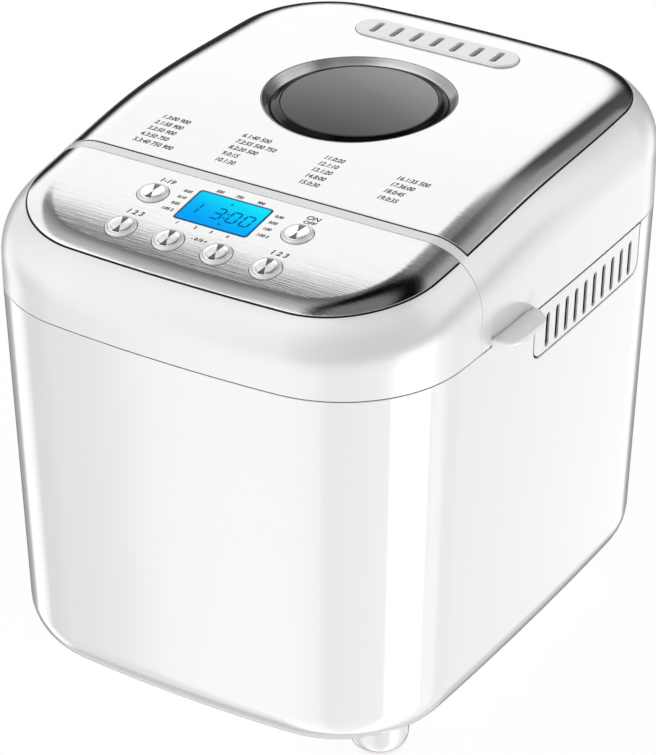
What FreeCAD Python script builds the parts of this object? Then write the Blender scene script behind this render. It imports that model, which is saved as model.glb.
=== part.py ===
import FreeCAD, Part
import os, math

V = FreeCAD.Vector

# ---------------------------------------------------------------- driving dimensions (mm, degrees)
HALF_W = 124.8          # half width of the body at the parting line
HALF_D = 155.7          # half depth of the body at the parting line
BOW_F = 9.8             # how far the front and back faces bow out at the middle
BOW_S = 3.9             # how far the sides bow out at the middle
CORNER_R = 65.8         # plan radius of the vertical corners
FOOT_H = 10.0           # height of the feet
BODY_H = 200.5          # lower body, from its underside to the parting line
TAPER_X = 6.8           # the lower body narrows by this on each side
TAPER_Y = 6.6
BOW_S2 = 4.8            # the sides at the underside
CORNER_R2 = 61.8        # corners at the underside
BOTTOM_R = 23.0         # rounding between the walls and the underside
SHOULDER_R = 30.3       # rounding between the upper walls and the top
WALL = 2.8              # moulded wall
SHEET = 0.7             # steel sheet of the lid plate and the fascia
TOP_Y = [-151.0, -114.6, -72.1, -10.4, 62.5, 151.0]   # arched top, side view
TOP_Z = [34.9, 44.2, 50.9, 59.3, 60.8, 59.9]
GAP_Y = -71.7           # joint between the control housing and the lid
HINGE_X = 58.0          # middle of each hinge
HINGE_Y = 162.0         # lid hinge axis
HINGE_R = 6.5
PIN_R = 2.5
LID_GAP = 0.8           # lid edge above the body
PLATE_IN_S = 11.25      # edge of the steel sheets inside the side walls
PLATE_IN_F = 13.4       # the same at the front and the back
PLATE_BOW_F = 5.35      # how far the sheets' edges bow out
PLATE_BOW_S = 6.9
PLATE_R = 53.0          # corners of the sheets
WINDOW_X, WINDOW_Y = -4.2, 28.8
RING_R = 48.7           # outer radius of the window ring
GLASS_R = 39.2
VENT_X, VENT_Y, VENT_L, VENT_W = -4.6, 105.0, 94.0, 20.0
LCD_X, LCD_Y, LCD_W, LCD_D = -5.0, -92.2, 41.0, 25.0
BUTTONS = {"button_menu": (-45.1, -92.0), "button_start": (36.1, -92.0),
           "button_weight": (-44.0, -120.4), "button_minus": (-17.3, -120.4),
           "button_plus": (9.6, -120.4), "button_crust": (36.8, -120.4)}
BUTTON_R = 7.8
FEET = [(90.5, -105.5), (-90.5, -105.5), (88.5, 94.0), (-88.5, 94.0)]
FOOT_R = 14.0
CH_Y = 38.0             # centre of the oven chamber and of the bread pan
CH_W, CH_D = 208.0, 178.0
CH_Z = 48.0             # underside of the chamber floor
PAN_Z0 = 76.0           # underside of the pan
PAN_RIM = 197.0
MOTOR_X, MOTOR_Y = 30.0, -100.0
PULLEY_R, MOTOR_PULLEY_R = 45.0, 10.0
GRILLE_Y0, GRILLE_Y1, GRILLE_H = -21.5, 89.3, 28.2
SLOTS, SLOT_PITCH, SLOT_Y0 = 10, 9.6, -7.9
SLOT_HALF, SLOT_TOP, SLOT_END = 1.85, 6.4, 25.1        # half width of a side slot; its ends below the parting line
VENT_PITCH, VENT_SLOT = 11.8, 12.8                     # slots of the lid's vent

ZB = FOOT_H
ZP = ZB + BODY_H
Y_SHIFT = -(HINGE_Y + HINGE_R - HALF_D) / 2.0   # the origin lies under the middle of the whole object

os.makedirs("parts", exist_ok=True)


def spline(xs, ys):
    n = len(xs)
    h = [xs[i + 1] - xs[i] for i in range(n - 1)]
    a = [0.0] * n; b = [1.0] * n; c = [0.0] * n; d = [0.0] * n
    for i in range(1, n - 1):
        a[i] = h[i - 1]; b[i] = 2 * (h[i - 1] + h[i]); c[i] = h[i]
        d[i] = 6 * ((ys[i + 1] - ys[i]) / h[i] - (ys[i] - ys[i - 1]) / h[i - 1])
    for i in range(1, n):
        m = a[i] / b[i - 1]
        b[i] -= m * c[i - 1]; d[i] -= m * d[i - 1]
    M = [0.0] * n
    for i in range(n - 1, -1, -1):
        M[i] = (d[i] - (c[i] * M[i + 1] if i < n - 1 else 0.0)) / b[i]

    def slope(x):
        x = min(max(x, xs[0]), xs[-1])
        i = max(k for k in range(n - 1) if xs[k] <= x)
        t0, t1 = xs[i + 1] - x, x - xs[i]
        return (-M[i] * t0 * t0 + M[i + 1] * t1 * t1) / (2 * h[i]) + (ys[i + 1] - ys[i]) / h[i] - (M[i + 1] - M[i]) * h[i] / 6

    def value(x):
        if x < xs[0]:
            return ys[0] + slope(xs[0]) * (x - xs[0])
        if x > xs[-1]:
            return ys[-1] + slope(xs[-1]) * (x - xs[-1])
        i = max(k for k in range(n - 1) if xs[k] <= x)
        t0, t1 = xs[i + 1] - x, x - xs[i]
        return (M[i] * t0 ** 3 + M[i + 1] * t1 ** 3) / (6 * h[i]) + (ys[i] / h[i] - M[i] * h[i] / 6) * t0 + (ys[i + 1] / h[i] - M[i + 1] * h[i] / 6) * t1
    return value, slope


_top, top_slope = spline(TOP_Y, TOP_Z)


def top_z(y):
    return ZP + _top(y)


# ---------------------------------------------------------------- small helpers
def save(name, shape):
    s = shape.copy()
    s.translate(V(0, Y_SHIFT, 0))
    if s.ShapeType == "Compound" and len(s.Solids) == 1:
        s = s.Solids[0]
    s.exportStep("parts/%s.step" % name)
    bb = s.BoundBox
    print("%-20s solids %d valid %s vol %.1f  x %.1f..%.1f y %.1f..%.1f z %.1f..%.1f" % (
        name, len(s.Solids), s.isValid(), s.Volume / 1000.0, bb.XMin, bb.XMax, bb.YMin, bb.YMax, bb.ZMin, bb.ZMax))


def box(x0, x1, y0, y1, z0, z1):
    return Part.makeBox(x1 - x0, y1 - y0, z1 - z0, V(x0, y0, z0))


def cyl(r, x, y, z0, z1):
    return Part.makeCylinder(r, z1 - z0, V(x, y, z0))


def cyl_y(r, x, z, y0, y1):
    return Part.makeCylinder(r, y1 - y0, V(x, y0, z), V(0, 1, 0))


def cyl_x(r, y, z, x0, x1):
    return Part.makeCylinder(r, x1 - x0, V(x0, y, z), V(1, 0, 0))


def fuse(shapes):
    s = shapes[0]
    if len(shapes) > 1:
        s = s.multiFuse(shapes[1:])
    return s.removeSplitter()


def cut(s, tools):
    return s.cut(Part.makeCompound(tools)) if len(tools) > 1 else s.cut(tools[0])


def group(shapes):
    return Part.makeCompound(shapes)


def rr_wire(w, d, r, z, cx=0.0, cy=0.0):
    a, b = w / 2.0, d / 2.0
    k = r * (1 - math.sqrt(0.5))
    e = []
    P = lambda x, y: V(cx + x, cy + y, z)
    e.append(Part.makeLine(P(-a + r, -b), P(a - r, -b)))
    e.append(Part.Arc(P(a - r, -b), P(a - k, -b + k), P(a, -b + r)).toShape())
    e.append(Part.makeLine(P(a, -b + r), P(a, b - r)))
    e.append(Part.Arc(P(a, b - r), P(a - k, b - k), P(a - r, b)).toShape())
    e.append(Part.makeLine(P(a - r, b), P(-a + r, b)))
    e.append(Part.Arc(P(-a + r, b), P(-a + k, b - k), P(-a, b - r)).toShape())
    e.append(Part.makeLine(P(-a, b - r), P(-a, -b + r)))
    e.append(Part.Arc(P(-a, -b + r), P(-a + k, -b + k), P(-a + r, -b)).toShape())
    return Part.Wire(e)


def rr(w, d, r, z0, z1, cx=0.0, cy=0.0):
    return Part.Face(rr_wire(w, d, r, z0, cx, cy)).extrude(V(0, 0, z1 - z0))


def outline(a, b, sx, sy, r, t, z):
    """Plan outline of eight tangent arcs: four bowed sides and four corners, set in by t."""
    R1 = (a * a + sx * sx) / (2 * sx)
    R2 = (b * b + sy * sy) / (2 * sy)
    cf = (0.0, -b + R1)
    cs = (a - R2, 0.0)
    d1, d2 = R1 - r, R2 - r
    dx, dy = cs[0] - cf[0], cs[1] - cf[1]
    d = math.hypot(dx, dy)
    q = (d1 * d1 - d2 * d2 + d * d) / (2 * d)
    hh = math.sqrt(d1 * d1 - q * q)
    c = None
    for sg in (1, -1):
        px = cf[0] + q * dx / d - sg * hh * dy / d
        py = cf[1] + q * dy / d + sg * hh * dx / d
        if px > 0 and py < 0:
            c = (px, py)
    u1 = ((c[0] - cf[0]) / d1, (c[1] - cf[1]) / d1)
    u2 = ((c[0] - cs[0]) / d2, (c[1] - cs[1]) / d2)
    m = (u1[0] + u2[0], u1[1] + u2[1])
    ml = math.hypot(*m)
    rt = r - t
    pf = (c[0] + u1[0] * rt, c[1] + u1[1] * rt)
    ps = (c[0] + u2[0] * rt, c[1] + u2[1] * rt)
    pm = (c[0] + m[0] / ml * rt, c[1] + m[1] / ml * rt)
    P = lambda p, ix=1, iy=1: V(p[0] * ix, p[1] * iy, z)
    A3 = lambda p, q_, s: Part.Arc(p, q_, s).toShape()
    e = [A3(P(pf, -1), V(0, -b + t, z), P(pf)), A3(P(pf), P(pm), P(ps)),
         A3(P(ps), V(a - t, 0, z), P(ps, 1, -1)), A3(P(ps, 1, -1), P(pm, 1, -1), P(pf, 1, -1)),
         A3(P(pf, 1, -1), V(0, b - t, z), P(pf, -1, -1)), A3(P(pf, -1, -1), P(pm, -1, -1), P(ps, -1, -1)),
         A3(P(ps, -1, -1), V(-a + t, 0, z), P(ps, -1)), A3(P(ps, -1), P(pm, -1), P(pf, -1))]
    return Part.Wire(e)


def main_outline(t, z):
    return outline(HALF_W, HALF_D, BOW_F, BOW_S, CORNER_R, t, z)


def foot_outline(t, z):
    return outline(HALF_W - TAPER_X, HALF_D - TAPER_Y, BOW_F, BOW_S2, CORNER_R2, t, z)


def plate_prism(t, y0, y1):
    w = outline(HALF_W - PLATE_IN_S, HALF_D - PLATE_IN_F, PLATE_BOW_F, PLATE_BOW_S, PLATE_R, t, ZP - 5)
    return Part.Face(w).extrude(V(0, 0, 90)).common(box(-200, 200, y0, y1, ZP - 10, ZP + 90))


def prism(t, z0, z1):
    return Part.Face(main_outline(t, z0)).extrude(V(0, 0, z1 - z0))


def lower_solid(t, z_top=None):
    """Tapered lower body, set in by t on every face."""
    zt = ZP if z_top is None else z_top
    s = Part.makeLoft([main_outline(t, ZP), foot_outline(t, ZB + t)], True, True)
    zb = ZB + t
    edges = [e for e in s.Edges if max(v.Z for v in e.Vertexes) < zb + 0.01]
    return s.makeFillet(BOTTOM_R - t, edges)


def top_curve(t, x):
    pts = []
    n = 36
    for i in range(n + 1):
        y = -178.0 + 356.0 * i / n
        s = top_slope(y)
        k = 1.0 / math.sqrt(1 + s * s)
        pts.append(V(x, y + t * s * k, top_z(y) - t * k))
    c = Part.BSplineCurve()
    c.interpolate(pts)
    return c.toShape(), pts


def upper_solid(t, z0):
    """Upper body with the rounded shoulder and the arched top, set in by t."""
    s = prism(t, z0, ZP + 90)
    e, pts = top_curve(t, -160)
    zt = ZP + 130
    p0, p1 = pts[0], pts[-1]
    q0, q1 = V(-160, p0.y, zt), V(-160, p1.y, zt)
    w = Part.Wire([e, Part.makeLine(p1, q1), Part.makeLine(q1, q0), Part.makeLine(q0, p0)])
    s = s.cut(Part.Face(w).extrude(V(320, 0, 0)))
    edges = []
    for ed in s.Edges:
        m = ed.valueAt((ed.FirstParameter + ed.LastParameter) / 2.0)
        if min(v.Z for v in ed.Vertexes) > ZP + 15 and abs(m.z - top_z(m.y)) < t + 1.5:
            edges.append(ed)
    return s.makeFillet(SHOULDER_R - t, edges)


def frame_at(x, y, dz=0.0):
    """Placement with its Z along the normal of the top at (x, y)."""
    a = math.degrees(math.atan(top_slope(y)))
    n = V(0, -math.sin(math.radians(a)), math.cos(math.radians(a)))
    return FreeCAD.Placement(V(x, y, top_z(y)) + n * dz, FreeCAD.Rotation(V(1, 0, 0), a))


def placed(shape, pl):
    s = shape.copy()
    s.Placement = pl.multiply(s.Placement)
    return s


def revolve(profile, x, y, z):
    """Solid of revolution about a vertical axis; the profile is a list of (r, z)."""
    pts = [V(x + r, y, z + h) for r, h in profile]
    pts.append(pts[0])
    return Part.Face(Part.makePolygon(pts)).revolve(V(x, y, z), V(0, 0, 1), 360)


def tube(points, radii, r):
    """Round bar along straight runs joined by tangent arcs."""
    P = [V(*p) for p in points]
    edges = []
    cur = P[0]
    for i in range(1, len(P) - 1):
        u = (P[i - 1] - P[i]).normalize()
        w = (P[i + 1] - P[i]).normalize()
        ang = u.getAngle(w)
        d = radii[i - 1] / math.tan(ang / 2.0)
        a, b = P[i] + u * d, P[i] + w * d
        bis = (u + w).normalize()
        c = P[i] + bis * (radii[i - 1] / math.sin(ang / 2.0))
        m = c - bis * radii[i - 1]
        if (a - cur).Length > 1e-6:
            edges.append(Part.makeLine(cur, a))
        edges.append(Part.Arc(a, m, b).toShape())
        cur = b
    edges.append(Part.makeLine(cur, P[-1]))
    path = Part.Wire(edges)
    t0 = (P[1] - P[0]).normalize()
    prof = Part.Wire([Part.makeCircle(r, P[0], t0)])
    return path.makePipeShell([prof], True, True)


# ---------------------------------------------------------------- outer solids shared by several pieces
U0 = upper_solid(0.0, ZP - 1)
US = upper_solid(SHEET, ZP - 2)
UI = upper_solid(WALL, ZP - 3)
SKIN = U0.cut(US)
L0 = lower_solid(0.0)
LI = lower_solid(WALL)

HY0, HY1 = -200.0, GAP_Y - 0.4          # control housing
LY0, LY1 = GAP_Y + 0.6, 200.0           # lid

# ---------------------------------------------------------------- lower body
ledge = prism(2.5, ZP - 6.5, ZP - 4).cut(prism(6.5, ZP - 7, ZP - 3))
shell = L0.cut(LI.fuse(prism(WALL, ZP - 0.5, ZP + 5)))
shell = shell.cut(Part.Face(foot_outline(38.0, ZB - 5)).extrude(V(0, 0, 20)))


def grille_block(g):
    zt, zb = ZP + 2, ZP - GRILLE_H + g
    y0, y1 = GRILLE_Y0 + g, GRILLE_Y1 - g
    b = box(80, 200, y0, y1, zb, zt)
    ed = [e for e in b.Edges if abs(e.Vertexes[0].Z - zb) < 1e-6 and abs(e.Vertexes[1].Z - zb) < 1e-6 and abs(e.Vertexes[0].Y - e.Vertexes[1].Y) < 1e-6]
    return b.makeFillet(7.0, ed)


def mirrored(s):
    return s.mirror(V(0, 0, 0), V(1, 0, 0))


gb = grille_block(0.0)
shell = shell.cut(gb).cut(mirrored(gb))
shell = shell.fuse(ledge)
shell = shell.cut(box(108, 126, GRILLE_Y0 + 12, GRILLE_Y1 - 12, ZP - 8, ZP - 3)).cut(box(-126, -108, GRILLE_Y0 + 12, GRILLE_Y1 - 12, ZP - 8, ZP - 3))

# hinge ears at the back
ears = []
for sx in (1, -1):
    for x0, x1 in ((HINGE_X - 12.8, HINGE_X - 7.4), (HINGE_X + 7.4, HINGE_X + 12.8)):
        xa, xb = (x0, x1) if sx > 0 else (-x1, -x0)
        pts = [V(xa, 150.2, ZP - 27), V(xa, 151.6, ZP - 28), V(xa, HINGE_Y + 5.6, ZP - 3.3), V(xa, HINGE_Y, ZP), V(xa, HINGE_Y - 6.2, ZP - 2.0), V(xa, 150.6, ZP - 7.0)]
        pts.append(pts[0])
        web = Part.Face(Part.makePolygon(pts)).extrude(V(xb - xa, 0, 0))
        ears.append(web.fuse(cyl_x(HINGE_R, HINGE_Y, ZP, xa, xb)))
shell = shell.multiFuse(ears)
pin_holes = [cyl_x(PIN_R + 0.02, HINGE_Y, ZP, s * HINGE_X - 20, s * HINGE_X + 20) for s in (1, -1)]
GLAND_X, GLAND_Z = -50.0, 44.0
screw_pos = [(86.0, 0.0), (-86.0, 0.0), (45.0, -118.0), (-45.0, -118.0), (45.0, 118.0), (-45.0, 118.0)]
shell = cut(shell, pin_holes + [cyl_y(8.1, GLAND_X, GLAND_Z, 120, 170)] + [cyl(1.65, x, y, ZB - 3, ZB + 8) for x, y in screw_pos])
shell = shell.removeSplitter()
save("body_shell", shell)

for side, sg in (("right", 1), ("left", -1)):
    g = L0.cut(lower_solid(2.3)).common(grille_block(0.25))
    g = g.cut(box(0, 200, -200, 200, ZP - 0.15, ZP + 10))
    tools = []
    for i in range(SLOTS):
        y = SLOT_Y0 + i * SLOT_PITCH
        z0, z1, h = ZP - SLOT_END, ZP - SLOT_TOP, SLOT_HALF
        tools.append(fuse([box(90, 140, y - h, y + h, z0 + h, z1 - h), cyl_x(h, y, z0 + h, 90, 140), cyl_x(h, y, z1 - h, 90, 140)]))
    g = cut(g, tools)
    save("vent_grille_" + side, g if sg > 0 else mirrored(g))

# ---------------------------------------------------------------- base, feet, screws
POSTS = [(60.0, -112.0), (-60.0, -112.0), (60.0, 106.0), (-60.0, 106.0)]
zf = ZB + WALL
base = Part.Face(foot_outline(26.0, zf)).extrude(V(0, 0, 2.5))
base = fuse([base] + [cyl(7.0, x, y, zf, 32.0) for x, y in POSTS])
slots = []
for i in range(9):
    x = -64.0 + 16.0 * i
    slots.append(rr(4.0, 40.0, 1.95, zf - 2, zf + 4, x, -70.0))
    slots.append(rr(4.0, 30.0, 1.95, zf - 2, zf + 4, x, 70.0))
base = cut(base, slots + [cyl(1.6, x, y, zf - 3, zf + 6) for x, y in screw_pos])
save("base_plate", base)
save("base_screws", group([fuse([cyl(3.4, x, y, ZB - 1.8, ZB), cyl(1.5, x, y, ZB, ZB + 9.0)]) for x, y in screw_pos]))
feet, pads = [], []
for x, y in FEET:
    f = cyl(FOOT_R, x, y, 1.0, ZB + 14)
    f = f.makeFillet(3.0, [e for e in f.Edges if abs(e.BoundBox.ZMax - 1.0) < 1e-3 and e.BoundBox.DiagonalLength > 10])
    f = f.cut(cyl(9.6, x, y, 0, 2.2)).cut(L0)
    f = max(f.Solids, key=lambda q: q.Volume)
    feet.append(f)
    pads.append(cyl(9.5, x, y, 0.0, 2.2))
save("feet", group(feet))
save("foot_pads", group(pads))

# ---------------------------------------------------------------- control housing and fascia
house = U0.cut(UI.common(box(-200, 200, -200, HY1 - 2.6, ZP - 20, ZP + 100))).common(box(-200, 200, HY0, HY1, ZP, ZP + 100))
house = house.cut(SKIN.common(plate_prism(-0.2, HY0, HY1 + 1)))
fascia = SKIN.common(plate_prism(0.0, HY0, HY1))
lcd_pl = frame_at(LCD_X, LCD_Y)
lcd_hole = placed(rr(LCD_W + 0.3, LCD_D + 0.3, 1.8, -6, 4), lcd_pl)
wells = [placed(cyl(BUTTON_R + 0.4, 0, 0, -8, 5), frame_at(x, y)) for x, y in BUTTONS.values()]
fascia = cut(fascia, [lcd_hole] + wells)
house = cut(house, [lcd_hole] + wells)
pcb_pl = frame_at(-4.0, -106.0, -16.0)
bosses = [placed(cyl(3.2, x, y, 0.0, 30.0), pcb_pl) for x, y in ((-68, -21), (68, -21), (-68, 20), (68, 20))]
boss_lim = US.common(box(-200, 200, -200, HY1 - 1, ZP, ZP + 100))
house = fuse([house] + [b.common(boss_lim) for b in bosses])
house = house.cut(SKIN.common(plate_prism(-0.2, HY0, HY1 + 1)))
save("control_housing", house)
save("control_panel", fascia)
lens = placed(rr(LCD_W, LCD_D, 1.6, -2.0, 0.25), lcd_pl)
save("lcd_lens", lens)
save("lcd_module", placed(rr(LCD_W + 8, LCD_D + 6, 1.0, -9.0, -4.2), lcd_pl).fuse(placed(rr(LCD_W - 1, LCD_D - 1, 1.0, -4.2, -2.0), lcd_pl)).removeSplitter())
pcb = placed(rr(146.0, 50.0, 2.0, -1.6, 0.0), pcb_pl)
save("control_pcb", pcb)
switches = []
for name, (x, y) in BUTTONS.items():
    pl = frame_at(x, y)
    n = pl.Rotation.multVec(V(0, 0, 1))
    pn = pcb_pl.Rotation.multVec(V(0, 0, 1))
    top = pl.Base
    t = (pcb_pl.Base - top).dot(pn) / n.dot(pn)
    hit = top + n * t
    spl = FreeCAD.Placement(hit, pcb_pl.Rotation)
    switches.append(placed(fuse([rr(6.0, 6.0, 0.6, 0.0, 3.4), cyl(1.7, 0, 0, 3.4, 5.0)]), spl))
    stem0 = t + 5.0 + 1.6                      # stem end, clear of the key switch by more than the travel
    cap = cyl(BUTTON_R, 0, 0, -2.6, 2.2)
    cap = cap.makeFillet(1.4, [e for e in cap.Edges if abs(e.BoundBox.ZMin - 2.2) < 1e-3 and e.BoundBox.DiagonalLength > 5])
    cap = cap.cut(fuse([cyl(6.35, 0, 0, 1.75, 3.0)]))
    body = fuse([cap, cyl(9.2, 0, 0, -4.9, -3.7), cyl(6.5, 0, 0, -3.9, -2.4), cyl(2.4, 0, 0, stem0, -4.4)])
    save(name, placed(body, pl))
save("tact_switches", group(switches))

# ---------------------------------------------------------------- deck and oven chamber
deck = prism(3.0, ZP - 4, ZP - 1).cut(rr(204, 174, 28, ZP - 10, ZP + 5, 0, CH_Y))
deck = cut(deck, [rr(120, 40, 6, ZP - 10, ZP + 5, 0, -112)])
lip = rr(204 + 7, 174 + 7, 31.5, ZP - 4, ZP + 0.0, 0, CH_Y).cut(rr(204, 174, 28, ZP - 10, ZP + 5, 0, CH_Y))
deck = fuse([deck, lip])
save("deck", deck)

ch = rr(CH_W, CH_D, 30, CH_Z, ZP - 5, 0, CH_Y)
ch = ch.makeFillet(12.0, [e for e in ch.Edges if abs(e.BoundBox.ZMax - CH_Z) < 1e-3])
ci = rr(CH_W - 2, CH_D - 2, 29, CH_Z + 1, ZP + 5, 0, CH_Y)
ci = ci.makeFillet(11.0, [e for e in ci.Edges if abs(e.BoundBox.ZMax - CH_Z - 1) < 1e-3])
ch = ch.fuse(rr(CH_W + 16, CH_D + 14, 36, ZP - 5, ZP - 4, 0, CH_Y)).cut(ci)
CHF = CH_Y - CH_D / 2.0            # outer face of the chamber's front wall
ELZ = 66.0
ch = cut(ch, [cyl(15.2, 0, CH_Y, CH_Z - 5, CH_Z + 5), cyl_y(7.2, 14, ELZ, CHF - 10, CHF + 10), cyl_y(7.2, -14, ELZ, CHF - 10, CHF + 10), cyl_y(5.2, 44, 112, CHF - 10, CHF + 10)])
ch = ch.removeSplitter()
save("chamber_liner", ch)

ex, ey = 94.0, 78.0
el = [(-14, CHF - 14, ELZ), (-14, CH_Y - ey, ELZ), (-ex, CH_Y - ey, ELZ), (-ex, CH_Y + ey, ELZ), (ex, CH_Y + ey, ELZ), (ex, CH_Y - ey, ELZ), (14, CH_Y - ey, ELZ), (14, CHF - 14, ELZ)]
save("heating_element", tube(el, [9, 26, 26, 26, 26, 9], 3.2))
save("element_bushes", group([cyl_y(7.0, x, ELZ, CHF - 3, CHF + 4).fuse(cyl_y(9.5, x, ELZ, CHF - 6, CHF - 0.2)).cut(cyl_y(3.3, x, ELZ, CHF - 10, CHF + 10)).removeSplitter() for x in (-14, 14)]))
br = []
for x, y in ((-40, CH_Y + ey), (40, CH_Y + ey)):
    br.append(fuse([box(x - 4, x + 4, y - 4.6, y + 4.6, CH_Z + 1, CH_Z + 2.2), box(x - 4, x + 4, y - 0.8, y + 0.8, CH_Z + 1, ELZ - 3.6), box(x - 4, x + 4, y - 3.2, y + 3.2, ELZ - 5.0, ELZ - 3.6)]).cut(ch))
save("element_brackets", group([max(b.Solids, key=lambda q: q.Volume) for b in br]))
save("temperature_sensor", fuse([cyl_y(5.0, 44, 112, CHF - 12, CHF + 3.0), cyl_y(8.0, 44, 112, CHF - 4, CHF - 0.2), cyl_y(3.0, 44, 112, CHF + 3, CHF + 7)]))
save("thermal_fuse", fuse([box(-52, -28, CHF - 1.6, CHF - 0.1, 118, 134), cyl_x(3.6, CHF - 5.0, 126, -50, -30)]))

# ---------------------------------------------------------------- chassis and drive
ZC = 32.0
chassis = fuse([rr(168, 262, 20, ZC, ZC + 2, 0, -7)])
chassis = cut(chassis, [cyl(9.5, 0, CH_Y, ZC - 5, ZC + 8), cyl(15.0, MOTOR_X, MOTOR_Y, ZC - 5, ZC + 8)])
save("chassis_plate", chassis)
save("chamber_posts", group([cyl(5.0, x, y, ZC + 2, CH_Z) for x, y in ((70, -18), (-70, -18), (70, 92), (-70, 92))]))
bh = revolve([(8.0, 0), (30, 0), (30, 4), (15, 4), (15, 24), (8.0, 24)], 0, CH_Y, ZC + 2)
save("bearing_housing", bh)
save("shaft_bushes", group([revolve([(4.05, 0), (7.98, 0), (7.98, 9), (4.05, 9)], 0, CH_Y, z) for z in (ZC + 2.2, ZC + 16.8)]))
save("drive_shaft", cyl(4.0, 0, CH_Y, 17.5, 62.8))
groove = []
pr = [(4.02, 0), (PULLEY_R + 2.0, 0), (PULLEY_R + 2.0, 1.2), (PULLEY_R, 1.2), (PULLEY_R, 9.8), (PULLEY_R + 2.0, 9.8), (PULLEY_R + 2.0, 11.0), (4.02, 11.0)]
pulley = revolve(pr, 0, CH_Y, 18.0)
spk = [rr(12, 12, 4, 10, 40, 27 * math.cos(math.radians(a)), CH_Y + 27 * math.sin(math.radians(a))) for a in range(0, 360, 60)]
save("drive_pulley", cut(pulley, spk))
coup = fuse([cyl(17.0, 0, CH_Y, 60.0, 63.0), box(10, 16, CH_Y - 4, CH_Y + 4, 63.0, 72.0), box(-16, -10, CH_Y - 4, CH_Y + 4, 63.0, 72.0), cyl(7.0, 0, CH_Y, 58.6, 60.0)])
coup = coup.cut(cyl(4.02, 0, CH_Y, 50, 63.5))
save("drive_coupling", coup.common(cyl(16.9, 0, CH_Y, 50, 80)))
mb = fuse([rr(76, 64, 8, ZC + 8, ZC + 60, MOTOR_X, MOTOR_Y), cyl(26, MOTOR_X, MOTOR_Y, ZC + 3.5, ZC + 8), cyl(22, MOTOR_X, MOTOR_Y, ZC + 60, ZC + 68)])
mb = mb.cut(cyl(4.06, MOTOR_X, MOTOR_Y, ZC - 10, ZC + 64))
save("motor_body", mb)
save("motor_mounts", group([cyl(5.0, MOTOR_X + x, MOTOR_Y + y, ZC + 2, ZC + 8).cut(cyl(1.8, MOTOR_X + x, MOTOR_Y + y, ZC, ZC + 9)) for x, y in ((30, 24), (-30, 24), (30, -24), (-30, -24))]))
save("motor_shaft", cyl(4.0, MOTOR_X, MOTOR_Y, 17.0, ZC + 63.6))
mp = [(4.02, 0), (MOTOR_PULLEY_R + 1.6, 0), (MOTOR_PULLEY_R + 1.6, 1.2), (MOTOR_PULLEY_R, 1.2), (MOTOR_PULLEY_R, 9.8), (MOTOR_PULLEY_R + 1.6, 9.8), (MOTOR_PULLEY_R + 1.6, 11.0), (4.02, 11.0)]
save("motor_pulley", revolve(mp, MOTOR_X, MOTOR_Y, 18.0))


def belt_face(r1, c1, r2, c2, z):
    dx, dy = c2[0] - c1[0], c2[1] - c1[1]
    d = math.hypot(dx, dy)
    ux, uy = dx / d, dy / d
    ca = (r1 - r2) / d
    sa = math.sqrt(1 - ca * ca)
    n1 = (ux * ca - uy * sa, uy * ca + ux * sa)
    n2 = (ux * ca + uy * sa, uy * ca - ux * sa)
    P = lambda c, r, n: V(c[0] + n[0] * r, c[1] + n[1] * r, z)
    e = [Part.Arc(P(c1, r1, n1), P(c1, r1, (-ux, -uy)), P(c1, r1, n2)).toShape(), Part.makeLine(P(c1, r1, n2), P(c2, r2, n2)),
         Part.Arc(P(c2, r2, n2), P(c2, r2, (ux, uy)), P(c2, r2, n1)).toShape(), Part.makeLine(P(c2, r2, n1), P(c1, r1, n1))]
    return Part.Face(Part.Wire(e))


c1, c2 = (0, CH_Y), (MOTOR_X, MOTOR_Y)
bo = belt_face(PULLEY_R + 1.75, c1, MOTOR_PULLEY_R + 1.75, c2, 19.6).extrude(V(0, 0, 7.8))
bi = belt_face(PULLEY_R + 0.35, c1, MOTOR_PULLEY_R + 0.35, c2, 19.0).extrude(V(0, 0, 10))
save("drive_belt", bo.cut(bi))

# ---------------------------------------------------------------- power board and cord gland
save("power_pcb", rr(70, 62, 2, 50.0, 51.6, -58, -100).fuse(group([cyl(3.0, x, y, ZC + 2, 50.0) for x, y in ((-34, -80), (-34, -124), (-78, -80), (-78, -114))])).removeSplitter())
pp = [rr(30, 26, 2, 51.6, 78, -72, -88), rr(20, 16, 1.5, 51.6, 67, -38, -86), cyl(8.0, -42, -114, 51.6, 76), cyl(5.0, -60, -118, 51.6, 66), rr(22, 8, 0.8, 51.6, 62, -76, -120)]
save("power_components", group(pp))
gl = fuse([cyl_y(8.0, GLAND_X, GLAND_Z, 139, 151), cyl_y(11.0, GLAND_X, GLAND_Z, 147, 153), cyl_y(10.5, GLAND_X, GLAND_Z, 140, 147)])
gl = gl.cut(cyl_y(4.0, GLAND_X, GLAND_Z, 120, 170)).cut(shell)
gl = max(gl.Solids, key=lambda s: s.Volume)
save("cord_gland", gl)

# ---------------------------------------------------------------- bread pan
clips = []
for sg in (1, -1):
    x = sg * 41.5
    clips.append(fuse([box(min(x, x + sg * 8), max(x, x + sg * 8), CH_Y - 7, CH_Y + 7, CH_Z + 1, CH_Z + 2.2), box(min(x, x + sg * 1.2), max(x, x + sg * 1.2), CH_Y - 7, CH_Y + 7, CH_Z + 1, CH_Z + 20)]))
save("pan_clips", group(clips))
po = Part.makeLoft([rr_wire(156, 116, 26, PAN_Z0, 0, CH_Y), rr_wire(176, 136, 30, PAN_RIM, 0, CH_Y)], True, True)
po = po.makeFillet(10.0, [e for e in po.Edges if e.BoundBox.ZMax < PAN_Z0 + 0.01])
pi_ = Part.makeLoft([rr_wire(153, 113, 24.5, PAN_Z0 + 1.5, 0, CH_Y), rr_wire(173, 133, 28.5, PAN_RIM + 1.5, 0, CH_Y)], True, True)
pi_ = pi_.makeFillet(8.5, [e for e in pi_.Edges if e.BoundBox.ZMax < PAN_Z0 + 1.51])
rim = rr(182, 142, 33, PAN_RIM - 3.0, PAN_RIM, 0, CH_Y)
HZ_PAN = 202.5
pan_ears = []
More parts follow.
